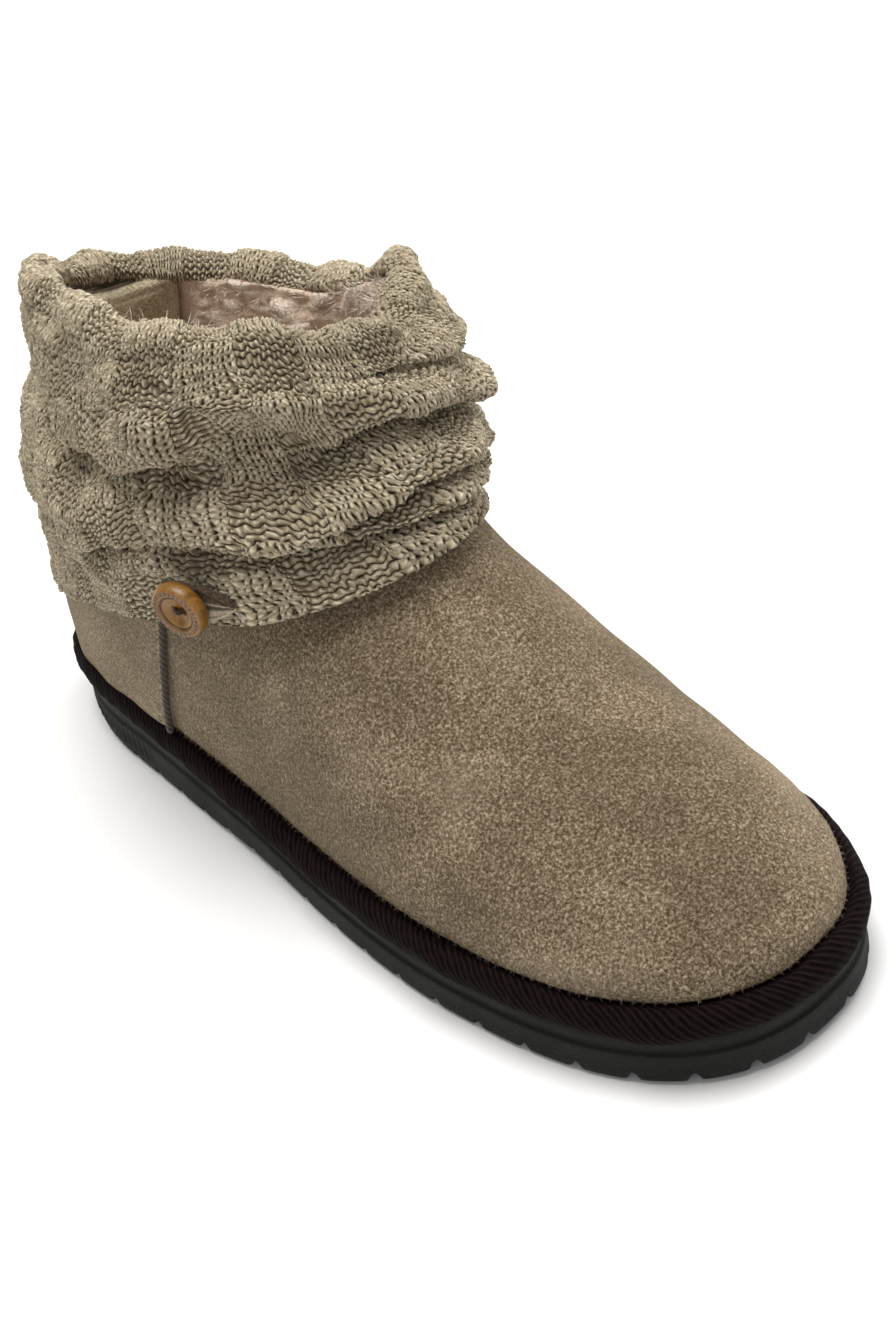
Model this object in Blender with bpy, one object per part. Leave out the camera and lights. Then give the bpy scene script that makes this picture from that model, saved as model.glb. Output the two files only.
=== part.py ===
"""Bootie slipper for the right foot with a slouched knit cuff.

Metres. The ground is z = 0, the toe points to -Y, the heel to +Y, the outer
side of the foot is -X. The origin is the heel rest spot on the ground.
"""
import bpy
import numpy as np
from math import pi, radians

OUTSOLE_LENGTH = 0.270
HEEL_BACK = 0.038
GAP = 0.0003

OUTER_HALF_WIDTH = 0.0501
INNER_HALF_WIDTH = 0.0452

# Outline of the sole. Columns: share of the length from the heel, half width
# on the outer side and on the inner side as shares of the widest.
OUTLINE = [
    (0.00, 0.7365, 0.8230),
    (0.12, 0.7525, 0.8407),
    (0.42, 0.8723, 0.7743),
    (0.70, 1.0000, 1.0000),
    (0.86, 0.9202, 0.8628),
    (1.00, 0.8563, 0.7965),
]
HEEL_ROUND = 0.19
TOE_ROUND = 0.21
HEEL_POWER = 2.24
TOE_POWER = 2.36

HEEL_RUBBER = 0.0190
FOREFOOT_RUBBER = 0.0135
WEDGE_START = 0.20
WEDGE_END = 0.65
ARCH_RISE = 0.0012
TOE_SPRING = 0.0010
LUG_PITCH = 0.0130
LUG_NOTCH = 0.0026
LUG_REACH = 0.0140
LUG_ROUND = 0.0010
SOLE_EDGE_ROUND = 0.0020
SIDE_STEP = 0.0005

MIDSOLE_HEIGHT = 0.0070
TAPE_BULGE = 0.0012
FEATHER_INSET = 0.0036
INSOLE_HEIGHT = 0.0050

INSTEP_HEIGHT = 0.1157

# Ridge line of the last over the ground. Columns: share of the length, height
# as a share of the instep height.
RIDGE = [
    (0.00, 0.533),
    (0.30, 0.844),
    (0.50, 1.000),
    (0.58, 0.836),
    (0.68, 0.622),
    (0.78, 0.468),
    (0.88, 0.378),
    (1.00, 0.274),
]
SECTION_SIDE_POWER = 2.05
SECTION_TOP_POWER = 1.80
TOE_DROP_SHARE = 0.15
TOE_DROP_POWER = 2.5

RIM_HEIGHT = 0.1355
COLLAR_HALF_WIDTH = 0.0370
COLLAR_HALF_LENGTH = 0.0535

# The shaft round the ankle. Columns: share of the rim height, centre across as
# a share of the half width, centre along as a share of the sole from the heel,
# half width and half length as shares of the collar's.
SHAFT = [
    (0.000, 0.000, 0.2963, 0.892, 1.346),
    (0.336, 0.000, 0.2963, 0.905, 1.346),
    (0.448, 0.013, 0.3019, 0.913, 1.318),
    (0.597, 0.054, 0.3185, 0.946, 1.224),
    (0.784, 0.135, 0.3426, 0.981, 1.112),
    (1.007, 0.216, 0.3593, 1.000, 1.000),
    (1.420, 0.216, 0.3593, 1.000, 1.000),
]
SHAFT_POWER = 2.3
INSTEP_FILLET = 0.0047
BLEND_RADIUS = 1.216 * COLLAR_HALF_WIDTH

RIM_SLOPE_ACROSS = -0.24
RIM_SLOPE_ALONG = -0.09
COLLAR_BELOW_RIM = 0.0060
UPPER_WALL = 0.0025
UPPER_COLUMNS = 52
UPPER_ROWS = 17

SEAM_SHARE = 0.1665
SEAM_TURN = radians(124)
COUNTER_THICKNESS = 0.0012
COUNTER_ROWS = 6
COUNTER_LIFT = 0.0007
COUNTER_OVER_HEM = 0.0020
PIPING_RADIUS = 0.0010
PIPING_UNDER_HEM = 0.0012

HEM_HEIGHT = 0.0515
HEM_SLOPE = -0.27
CUFF_COLUMNS = 60
CUFF_ROWS = 14
CUFF_WALL = 0.0032
CUFF_CLEAR = 0.0023
CUFF_BULGE = 0.0092
CUFF_FULLNESS = (0.84, 0.86, 1.22, 1.20)
RIM_LIP = 0.0065
CREASE_FLOOR = 0.0012

# Main creases of the slouched cuff. Columns: height share at the back, at the
# outer side, at the front and at the inner side, depth as a share of the
# bulge, half width as a share of the height.
CREASES = [
    (0.17, 0.20, 0.17, 0.18, 0.674, 0.050),
    (0.53, 0.42, 0.50, 0.42, 0.826, 0.065),
    (0.33, 0.31, 0.34, 0.30, 0.217, 0.035),
    (0.70, 0.70, 0.72, 0.64, 0.391, 0.060),
]

FACING_HALF_TURN = radians(20)
FACING_DEPTH = 0.0250
FACING_PAD = 0.0050
FACING_DROP = 0.0125

TAB_TURN = radians(136)
TAB_HALF_LENGTH = 0.0105
TAB_THICKNESS = 0.0014
TAB_HALF_WIDTH = 0.0044
TAB_LIFT = 0.0022
TAB_END = 0.0006
TAB_CURVE = 0.0002
TAB_RISE = 0.0100
TAB_YAW = radians(17)
TAB_TILT = radians(-3)
TAB_PINCH_TURN = radians(26)
TAB_PINCH_HEIGHT = 0.34

BUTTON_RADIUS = 0.0072
BUTTON_THICKNESS = 0.0042


def ease(share):
    """Smooth step from 0 to 1."""
    share = np.clip(share, 0.0, 1.0)
    return share * share * (3.0 - 2.0 * share)


def track(table, column, at):
    """Smooth curve through one column of a table, flat at its turning points."""
    rows = np.array(table, float)
    xs, ys = rows[:, 0], rows[:, column]
    slope = np.diff(ys) / np.diff(xs)
    tangent = np.zeros(len(xs))
    product = slope[1:] * slope[:-1]
    tangent[1:-1] = np.where(product > 0, 2 * product / (slope[1:] + slope[:-1] + 1e-15), 0)
    tangent[0], tangent[-1] = slope[0], slope[-1]
    at = np.clip(at, xs[0], xs[-1])
    cell = np.clip(np.searchsorted(xs, at) - 1, 0, len(xs) - 2)
    width = xs[cell + 1] - xs[cell]
    u = (at - xs[cell]) / width
    start = ys[cell] * (1 + 2 * u) * (1 - u) ** 2 + tangent[cell] * width * u * (1 - u) ** 2
    end = ys[cell + 1] * u * u * (3 - 2 * u) + tangent[cell + 1] * width * u * u * (u - 1)
    return start + end


def share_of(y):
    """Share of the length at a place y, 0 at the heel and 1 at the toe."""
    return (HEEL_BACK - y) / OUTSOLE_LENGTH


def half_widths(share, inset=0.0):
    """Half widths of the outline on the outer and the inner side."""
    end = inset / OUTSOLE_LENGTH
    along = np.clip((share - end) / (1 - 2 * end), 0, 1)
    heel = np.clip(1 - along / HEEL_ROUND, 0, 1)
    toe = np.clip(1 - (1 - along) / TOE_ROUND, 0, 1)
    heel = (1 - heel ** HEEL_POWER) ** (1 / HEEL_POWER)
    toe = (1 - toe ** TOE_POWER) ** (1 / TOE_POWER)
    outer = (track(OUTLINE, 1, share) * OUTER_HALF_WIDTH - inset) * heel * toe
    inner = (track(OUTLINE, 2, share) * INNER_HALF_WIDTH - inset) * heel * toe
    return outer, inner


def rubber_top(share):
    """Height of the top of the rubber: thick heel, thin forefoot."""
    wedge = ease((share - WEDGE_START) / (WEDGE_END - WEDGE_START))
    return HEEL_RUBBER + (FOREFOOT_RUBBER - HEEL_RUBBER) * wedge


def sole_rise(share):
    """Height of the tread over the ground: arch and toe spring."""
    arch = ease((share - 0.33) / 0.08) * ease((0.55 - share) / 0.08)
    spring = np.clip((share - 0.86) / 0.14, 0, 1) ** 2
    return ARCH_RISE * arch + TOE_SPRING * spring


def midsole_top(share):
    return rubber_top(share) + GAP + MIDSOLE_HEIGHT


def sole_ring(places, inset=0.0):
    """Points of the outline at shares of its own length, moved in by inset.

    Share 0 is the back of the heel, the outer side comes first.
    """
    turn = np.linspace(0, 1, 400)
    share = 0.5 - 0.5 * np.cos(pi * turn)
    outer, inner = half_widths(share)
    y = HEEL_BACK - OUTSOLE_LENGTH * share
    x = np.concatenate([-outer, inner[-2::-1]])
    y = np.concatenate([y, y[-2::-1]])
    length = np.concatenate([[0], np.cumsum(np.hypot(np.diff(x), np.diff(y)))])
    length /= length[-1]
    px = np.interp(places, length, x)
    py = np.interp(places, length, y)
    step = 0.004
    ax, ay = np.interp((places - step) % 1, length, x), np.interp((places - step) % 1, length, y)
    bx, by = np.interp((places + step) % 1, length, x), np.interp((places + step) % 1, length, y)
    size = np.hypot(bx - ax, by - ay)
    return px + (ay - by) / size * inset, py + (bx - ax) / size * inset


def body(points):
    """Signed distance like value of the last's body, below 0 inside."""
    share = share_of(points[..., 1])
    outer, inner = half_widths(share, FEATHER_INSET)
    width = np.where(points[..., 0] < 0, outer, inner) + 1e-6
    low = midsole_top(share)
    drop = np.clip(1 - (1 - share - FEATHER_INSET / OUTSOLE_LENGTH) / TOE_DROP_SHARE, 0, 1)
    drop = (1 - drop ** TOE_DROP_POWER) ** (1 / TOE_DROP_POWER)
    high = low + (track(RIDGE, 1, share) * INSTEP_HEIGHT - low) * drop + 1e-6
    rise = np.clip((points[..., 2] - low) / (high - low), 0, 9)
    value = np.abs(points[..., 0] / width) ** SECTION_SIDE_POWER + rise ** SECTION_TOP_POWER
    end = FEATHER_INSET / OUTSOLE_LENGTH
    value = np.where((share > end) & (share < 1 - end), value, 9.0)
    return (value ** 0.5 - 1) * BLEND_RADIUS


def shaft_section(z):
    """Centre and half sizes of the ankle tube at a height."""
    table = np.array(SHAFT)
    level = z / RIM_HEIGHT
    cx, cy, ax, ay = (np.interp(level, table[:, 0], table[:, k]) for k in (1, 2, 3, 4))
    y = HEEL_BACK - OUTSOLE_LENGTH * cy
    return cx * COLLAR_HALF_WIDTH, y, ax * COLLAR_HALF_WIDTH, ay * COLLAR_HALF_LENGTH


def shaft(points):
    """Signed distance like value of the ankle tube, below 0 inside."""
    cx, cy, ax, ay = shaft_section(points[..., 2])
    value = np.abs((points[..., 0] - cx) / ax) ** SHAFT_POWER
    value = value + np.abs((points[..., 1] - cy) / ay) ** SHAFT_POWER
    return (value ** (1 / SHAFT_POWER) - 1) * BLEND_RADIUS


def last_value(points):
    """Body and shaft in one, with a fillet at the instep."""
    a, b = body(points), shaft(points)
    return -np.log(np.exp(-a / INSTEP_FILLET) + np.exp(-b / INSTEP_FILLET)) * INSTEP_FILLET


# The meridians of the last fan out from a point inside the ankle.
ORIGIN = np.array([0.001, HEEL_BACK - 0.3556 * OUTSOLE_LENGTH, 0.336 * RIM_HEIGHT])


def reach(directions):
    """Distance from ORIGIN to the skin of the last along each direction."""
    steps = np.linspace(0.044, 0.741, 70) * OUTSOLE_LENGTH
    low = np.full(directions.shape[:-1], steps[0])
    found = np.zeros(directions.shape[:-1], bool)
    for step in steps[1:]:
        inside = last_value(ORIGIN + directions * step) < 0
        found |= ~inside
        low = np.where(found, low, step)
    high = low + (steps[1] - steps[0])
    for _ in range(14):
        middle = (low + high) / 2
        inside = last_value(ORIGIN + directions * middle[..., None]) < 0
        low = np.where(inside, middle, low)
        high = np.where(inside, high, middle)
    return (low + high) / 2


def unit(vectors):
    return vectors / np.linalg.norm(vectors, axis=-1, keepdims=True)


# How the columns fan out. Columns: share round the sole, turn round the collar.
FAN = [
    (0.0, 0.0),
    (SEAM_SHARE, SEAM_TURN),
    (0.5, pi),
    (1 - SEAM_SHARE, 2 * pi - SEAM_TURN),
    (1.0, 2 * pi),
]


def skin(places, dense=90):
    """Dense meridians of the last from the feather edge to the rim.

    places: shares round the sole. Returns points and outward normals, one row
    of points per place, evenly spaced along each meridian.
    """
    places = np.asarray(places) % 1.0
    bx, by = sole_ring(places, FEATHER_INSET)
    foot = np.stack([bx, by, midsole_top(share_of(by)) + GAP], -1)
    for _ in range(4):
        start = unit(foot - ORIGIN)
        foot = ORIGIN + start * reach(start)[:, None]
        foot[:, 2] = midsole_top(share_of(foot[:, 1])) + GAP
    turn = track(FAN, 1, places)
    cx, cy, ax, ay = shaft_section(RIM_HEIGHT)
    tx = cx - ax * np.sin(turn)
    ty = cy + ay * np.cos(turn)
    tz = RIM_HEIGHT + RIM_SLOPE_ACROSS * (tx - cx) + RIM_SLOPE_ALONG * (ty - cy)
    rim = np.stack([tx, ty, tz], -1)
    start, end = unit(foot - ORIGIN), unit(rim - ORIGIN)
    t = np.linspace(0, 1, 150)[None, :, None]
    directions = unit(start[:, None] * (1 - t) + end[:, None] * t)
    line = ORIGIN + directions * reach(directions)[..., None]
    return even(line, np.zeros(len(places)), np.ones(len(places)), dense)


def even(line, start, end, count):
    """Resample each row of points evenly by length between two shares."""
    length = np.linalg.norm(np.diff(line, axis=1), axis=2)
    length = np.concatenate([np.zeros((len(line), 1)), np.cumsum(length, axis=1)], axis=1)
    result = np.zeros((len(line), count, 3))
    for i in range(len(line)):
        want = np.linspace(start[i], end[i], count) * length[i, -1]
        for k in range(3):
            result[i, :, k] = np.interp(want, length[i], line[i, :, k])
    return result


def normals_of(grid, closed=True):
    """Outward unit normals of a grid of points, columns round, rows upward."""
    if closed:
        across = np.roll(grid, -1, axis=0) - np.roll(grid, 1, axis=0)
    else:
        across = np.gradient(grid, axis=0)
    up = np.gradient(grid, axis=1)
    return unit(np.cross(across, up))


def length_along(grid):
    return np.linalg.norm(np.diff(grid, axis=1), axis=2).sum(axis=1)


def clear_scene():
    for item in list(bpy.data.objects):
        bpy.data.objects.remove(item, do_unlink=True)
    for group in list(bpy.data.collections):
        bpy.data.collections.remove(group)


def make_material(name, color, rough):
    material = bpy.data.materials.new(name)
    material.use_nodes = True
    shader = material.node_tree.nodes["Principled BSDF"]
    shader.inputs["Base Color"].default_value = (*color, 1.0)
    shader.inputs["Roughness"].default_value = rough
    return material


def add_object(name, vertices, faces, material, collection):
    mesh = bpy.data.meshes.new(name)
    mesh.from_pydata([tuple(map(float, v)) for v in vertices], [], [tuple(f) for f in faces])
    mesh.validate()
    mesh.materials.append(material)
    item = bpy.data.objects.new(name, mesh)
    collection.objects.link(item)
    return item


def ring_faces(columns, rows, closed_rows=False):
    """Quads of a grid that is closed round, with its points ring after ring."""
    faces = []
    for j in range(rows if closed_rows else rows - 1):
        k = (j + 1) % rows
        for i in range(columns):
            n = (i + 1) % columns
            faces.append((j * columns + i, j * columns + n, k * columns + n, k * columns + i))
    return faces


def ladder_faces(columns, first, flip):
    """Cap of a ring by strips across it, from one side to the other."""
    faces = []
    for i in range(columns // 2):
        a, b = i, i + 1
        c, d = (columns - i - 1) % columns, (columns - i) % columns
        quad = [a, b, c, d]
        quad = [q for n, q in enumerate(quad) if q not in quad[:n]]
        if flip:
            quad.reverse()
        faces.append([first + q for q in quad])
    return faces


def slab(name, places, rings, material, collection):
    """Solid from rings of (x, y, z), the lowest first, capped by ladders."""
    columns = len(places)
    points = np.concatenate([np.stack(ring, -1) for ring in rings])
    faces = ring_faces(columns, len(rings))
    faces += ladder_faces(columns, 0, True)
    faces += ladder_faces(columns, columns * (len(rings) - 1), False)
    return add_object(name, points, faces, material, collection)


def sheet_solid(name, inner, outer, material, collection):
    """Solid between two open grids with the same columns and rows."""
    columns, rows = inner.shape[:2]
    points = np.concatenate([inner.reshape(-1, 3), outer.reshape(-1, 3)])
    shift = columns * rows
    faces = []
    for i in range(columns - 1):
        for j in range(rows - 1):
            a, b = i * rows + j, (i + 1) * rows + j
            faces.append((a, a + 1, b + 1, b))
            faces.append((shift + a, shift + b, shift + b + 1, shift + a + 1))
    edge = [(i, 0) for i in range(columns - 1)] + [(columns - 1, j) for j in range(rows - 1)]
    edge += [(i, rows - 1) for i in range(columns - 1, 0, -1)] + [(0, j) for j in range(rows - 1, 0, -1)]
    edge = [i * rows + j for i, j in edge]
    for a, b in zip(edge, edge[1:] + edge[:1]):
        faces.append((a, b, shift + b, shift + a))
    return add_object(name, points, faces, material, collection)


def build_outsole(material, collection):
    """Rubber outsole with notched edge lugs, a side step, arch and toe spring."""
    whole = sole_ring(np.linspace(0, 1, 401))
    perimeter = np.hypot(np.diff(whole[0]), np.diff(whole[1])).sum()
    lugs = 2 * int(round(perimeter / LUG_PITCH / 2))
    cell = np.array([-0.38, 0.38, 0.43, 0.57])
    places = ((np.arange(lugs)[:, None] + cell[None, :]) / lugs).ravel()
    places = np.roll(places, -1) % 1.0
    places = np.sort(places)
    phase = (places * lugs) % 1.0
    notch = np.where(np.abs(phase - 0.5) < 0.09, 1.0, 0.0)

    def ring(inset, level, deep):
        x, y = sole_ring(places, inset)
        share = share_of(sole_ring(places)[1])
        base = sole_rise(share)
        top = rubber_top(share)
        return x, y, base + (top - base) * level + LUG_NOTCH * deep * notch

    rings = [
        ring(LUG_REACH + LUG_ROUND, 0.0, 0.0),
        ring(LUG_REACH, 0.0, 1.0),
        ring(SOLE_EDGE_ROUND, 0.0, 1.0),
        ring(SOLE_EDGE_ROUND * 0.2, 0.10, 0.8),
        ring(SIDE_STEP, 0.50, 0.0),
        ring(SIDE_STEP * 2, 0.56, 0.0),
        ring(SIDE_STEP * 2, 1.0, 0.0),
    ]
    return slab("outsole", places, rings, material, collection)


def build_midsole(material, collection):
    """Midsole slab wrapped in binding tape, its edge stands out of the rubber."""
    places = np.arange(64) / 64
    share = share_of(sole_ring(places)[1])
    low = rubber_top(share) + GAP
    # Columns: share of the height, inset from the outline.
    profile = [(0.0, 0.33 * FEATHER_INSET), (0.10, -0.3 * TAPE_BULGE), (0.45, -TAPE_BULGE),
               (0.80, -0.2 * TAPE_BULGE), (0.96, 0.33 * FEATHER_INSET), (1.0, 0.75 * FEATHER_INSET)]
    rings = []
    for level, inset in profile:
        x, y = sole_ring(places, inset)
        rings.append((x, y, low + MIDSOLE_HEIGHT * level))
    return slab("wrapped_midsole", places, rings, material, collection)


def build_insole(material, collection):
    """Fleece footbed that lies inside the upper."""
    places = np.arange(48) / 48
    share = share_of(sole_ring(places)[1])
    low = midsole_top(share) + GAP
    rings = []
    for level, extra in ((0.0, 0.32), (0.4, 0.64), (1.0, 1.60)):
        x, y = sole_ring(places, FEATHER_INSET + UPPER_WALL * (1 + extra))
        rings.append((x, y, low + INSOLE_HEIGHT * level))
    return slab("insole", places, rings, material, collection)


def upper_places():
    """Shares round the sole of the upper's columns, a column on each seam."""
    back = max(4, int(round(UPPER_COLUMNS * SEAM_SHARE)) + 1)
    front = UPPER_COLUMNS - 2 * back
    heel = np.linspace(0, SEAM_SHARE, back + 1)
    vamp = np.linspace(SEAM_SHARE, 1 - SEAM_SHARE, front + 1)[1:]
    other = np.linspace(1 - SEAM_SHARE, 1, back + 1)[1:-1]
    return np.concatenate([heel, vamp, other]), back


def upper_grid():
    """Outer skin of the upper, columns by rows."""
    places, back = upper_places()
    line = skin(places)
    total = length_along(line)
    grid = even(line, np.zeros(len(places)), 1 - COLLAR_BELOW_RIM / total, UPPER_ROWS)
    return grid, normals_of(grid), back


def build_upper(material, collection):
    """Hollow suede shell, open at the collar and underneath."""
    grid, normal, _ = upper_grid()
    columns, rows = grid.shape[:2]
    inner = grid - normal * UPPER_WALL
    inner[:, 0, 2] = grid[:, 0, 2]
    points = np.concatenate([grid, inner[:, ::-1]], axis=1).transpose(1, 0, 2).reshape(-1, 3)
    faces = ring_faces(columns, rows * 2, closed_rows=True)
    return add_object("upper", points, faces, material, collection)


def hem_share(line, above):
    """Share of each meridian at a height over the hem line of the cuff."""
    level = line[..., 2] - (HEM_HEIGHT + above + HEM_SLOPE * line[..., 1])
    return np.array([np.argmax(row > 0) for row in level]) / (line.shape[1] - 1)


def counter_grid(above):
    """Skin and normals between the feather edge and the hem, seam to seam."""
    places, back = upper_places()
    line = skin(places[np.arange(-back - 1, back + 2)], 160)
    start = COUNTER_LIFT / length_along(line)
    grid = even(line, start, hem_share(line, above), COUNTER_ROWS)
    normal = normals_of(grid, closed=False)
    normal[..., 2] = np.maximum(normal[..., 2], 0)
    return grid, unit(normal)


def build_counter(material, collection):
    """Second layer of suede round the heel, from seam to seam."""
    grid, normal = counter_grid(COUNTER_OVER_HEM)
    grid, normal = grid[1:-1], normal[1:-1]
    inner = grid + normal * GAP
    outer = grid + normal * (GAP + COUNTER_THICKNESS)
    return sheet_solid("heel_counter", inner, outer, material, collection)


def build_piping(name, side, material, collection):
    """Narrow welt along the edge of the heel counter."""
    grid, normal = counter_grid(-PIPING_UNDER_HEM)
    if side < 0:
        grid, normal = grid[::-1], normal[::-1]
    line, out = grid[-2], normal[-2]
    ahead = unit(grid[-1] - line)
    path = line + out * (GAP * 2 + PIPING_RADIUS) + ahead * (GAP + PIPING_RADIUS * 1.15)
    path[0] = path[0] + (path[1] - path[0]) * 0.12
    curve = bpy.data.curves.new(name, "CURVE")
    curve.dimensions = "3D"
    curve.bevel_depth = PIPING_RADIUS
    curve.bevel_resolution = 1
    curve.use_fill_caps = True
    curve.resolution_u = 2
    spline = curve.splines.new("POLY")
    spline.points.add(len(path) - 1)
    for point, place in zip(spline.points, path):
        point.co = (*map(float, place), 1.0)
    curve.materials.append(material)
    item = bpy.data.objects.new(name, curve)
    collection.objects.link(item)
    return item


def around(values, turn):
    """Periodic smooth value through back, outer side, front and inner side."""
    back, outer, front, inner = values
    c, s = np.cos(turn), np.sin(turn)
    mean = (back + outer + front + inner) / 4
    swing = (back - outer + front - inner) / 4 * np.cos(2 * turn)
    return mean + (back - front) / 2 * c + (outer - inner) / 2 * s + swing


def place_of_turn(turn):
    """Share round the sole of the meridian that ends at a turn of the collar."""
    fine = np.linspace(0, 1, 2001)
    return np.interp(turn, track(FAN, 1, fine), fine)


def cuff_base(turn, rows):
    """Skin of the last between the hem line and the rim, with its normals."""
    line = skin(place_of_turn(turn), 160)
    start = hem_share(line, 0.0)
    grid = even(line, start, np.ones(len(turn)), rows)
    return grid, start


def stand_out(height, turn):
    """How far the cuff stands off the shaft: a slack bulge less its creases."""
    fullness = CUFF_BULGE * around(CUFF_FULLNESS, turn)
    slack = CUFF_CLEAR + CUFF_WALL + fullness * np.sin(pi * np.clip(height, 0, 1)) ** 1.3
    for back, outer, front, inner, depth, half in CREASES:
        line = around((back, outer, front, inner), turn)
        slack = slack - depth * CUFF_BULGE * np.exp(-((height - line) / half) ** 2)
    pinch = np.exp(-((turn - TAB_TURN) / TAB_PINCH_TURN) ** 2 - (height / TAB_PINCH_HEIGHT) ** 2)
    slack = slack * (1 - pinch) + (CUFF_CLEAR + CUFF_WALL * 0.8) * pinch
    return np.maximum(slack, CUFF_CLEAR + CREASE_FLOOR)


def build_cuff(material, collection):
    """Knit tube over the shaft, with its main folds and a rolled rim."""
    turn = 2 * pi * np.arange(CUFF_COLUMNS) / CUFF_COLUMNS
    rows = 41
    grid, _ = cuff_base(turn, rows)
    normal = normals_of(grid)
    normal[..., 2] *= 0.35
    normal = unit(normal)
    total = length_along(grid)
    collar = 1 - COLLAR_BELOW_RIM / total

    def at(height, off):
        """Ring of points at a height share (array or number) and an offset."""
        height = height + np.zeros(CUFF_COLUMNS)
        cell = np.clip(height, 0, 1) * (rows - 1)
        low = np.clip(cell.astype(int), 0, rows - 2)
        u = (cell - low)[:, None]
        i = np.arange(CUFF_COLUMNS)
        place = grid[i, low] * (1 - u) + grid[i, low + 1] * u
        out = unit(normal[i, low] * (1 - u) + normal[i, low + 1] * u)
        return place + out * (off + np.zeros(CUFF_COLUMNS))[:, None]

    rings = []
    for height in np.linspace(0.0, 0.93, CUFF_ROWS):
        rings.append(at(height, stand_out(height, turn)))
    rings.append(at(0.985, CUFF_CLEAR + CUFF_WALL * 0.85))
    rings.append(at(1.0, CUFF_CLEAR * 0.2))
    rings.append(at(0.985, -RIM_LIP * 0.92))
    rings.append(at(collar - 0.02, -RIM_LIP))
    rings.append(at(collar - 0.06, -RIM_LIP * 0.75))
    rings.append(at(collar - 0.06, -UPPER_WALL - 2 * GAP))
    rings.append(at(collar + 0.012, -UPPER_WALL - 2 * GAP))
    rings.append(at(collar + 0.012, 2 * GAP))
    for height in (0.80, 0.58, 0.36, 0.20, 0.09):
        rings.append(at(height, CUFF_CLEAR))
    rings.append(at(0.0, CUFF_CLEAR))
    points = np.concatenate(rings)
    faces = ring_faces(CUFF_COLUMNS, len(rings), closed_rows=True)
    return add_object("knit_cuff", points, faces, material, collection)


def build_facing(material, collection):
    """Padded suede facing on the inside of the collar at the back."""
    turn = np.linspace(-FACING_HALF_TURN, FACING_HALF_TURN, 9)
    line = skin(place_of_turn(turn % (2 * pi)))
    total = length_along(line)
    top = 1 - (COLLAR_BELOW_RIM + FACING_DROP) / total
    low = top - FACING_DEPTH / total
    grid = even(line, low, top, 6)
    normal = normals_of(grid, closed=False)
    outer = grid - normal * (UPPER_WALL + GAP * 2)
    inner = grid - normal * (UPPER_WALL + FACING_PAD)
    return sheet_solid("back_facing", inner, outer, material, collection)


def tab_frame():
    """Place, outward axis, forward axis and upward axis of the tab and button."""
    grid, _ = cuff_base(np.array([TAB_TURN]), 41)
    place = grid[0, 0] + np.array([0.0, 0.0, TAB_RISE])
    out = -np.array([np.cos(TAB_YAW) * np.cos(TAB_TILT), np.sin(TAB_YAW) * np.cos(TAB_TILT), -np.sin(TAB_TILT)])
    up = unit(np.array([0.0, 0.0, 1.0]) - out * out[2])
    return place, out, np.cross(up, out), up


def build_tab(material, collection):
    """Short strap that laps the hem of the cuff, with a rounded front end."""
    place, out, ahead, up = tab_frame()
    columns, rows = 9, 5
    along = np.linspace(-0.60, 1.30, columns) * TAB_HALF_LENGTH
    grid = np.zeros((columns, rows, 3))
    for i, a in enumerate(along):
        half = TAB_HALF_WIDTH * (1 - np.clip((a / TAB_HALF_LENGTH - 0.2) / 1.1, 0, 1) ** 2.2) + TAB_END
        for j, b in enumerate(np.linspace(-1, 1, rows)):
            fall = TAB_CURVE * (a / TAB_HALF_LENGTH) ** 2
            grid[i, j] = place + ahead * a + up * b * half - out * fall
    lift = CUFF_CLEAR + CUFF_WALL + TAB_LIFT
    inner = grid + out * lift
    outer = grid + out * (lift + TAB_THICKNESS)
    return sheet_solid("button_tab", inner, outer, material, collection)


def build_button(material, collection):
    """Turned wooden button: flat back, raised rim band and a dished middle."""
    place, out, ahead, up = tab_frame()
    r, t = BUTTON_RADIUS, BUTTON_THICKNESS
    profile = [(0.0, 0.0), (0.80 * r, 0.0), (0.97 * r, 0.22 * t), (r, 0.55 * t), (0.93 * r, 0.92 * t),
               (0.84 * r, t), (0.62 * r, 0.97 * t), (0.54 * r, 0.86 * t), (0.30 * r, 0.62 * t),
               (0.0, 0.55 * t)]
    count = 28
    points = [(0.0, 0.0, 0.0), (0.0, 0.0, profile[-1][1])]
    for radius, height in profile[1:-1]:
        for k in range(count):
            a = 2 * pi * k / count
            points.append((radius * np.cos(a), radius * np.sin(a), height))
    faces = []
    rings = len(profile) - 2
    for j in range(rings - 1):
        for k in range(count):
            a, b = 2 + j * count + k, 2 + j * count + (k + 1) % count
            faces.append((a, b, b + count, a + count))
    last = 2 + (rings - 1) * count
    for k in range(count):
        faces.append((0, 2 + (k + 1) % count, 2 + k))
        faces.append((1, last + k, last + (k + 1) % count))
    base = place + out * (CUFF_CLEAR + CUFF_WALL + TAB_LIFT + TAB_THICKNESS + GAP)
    points = base + np.array(points) @ np.stack([ahead, up, out])
    return add_object("button", points, faces, material, collection)


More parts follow.
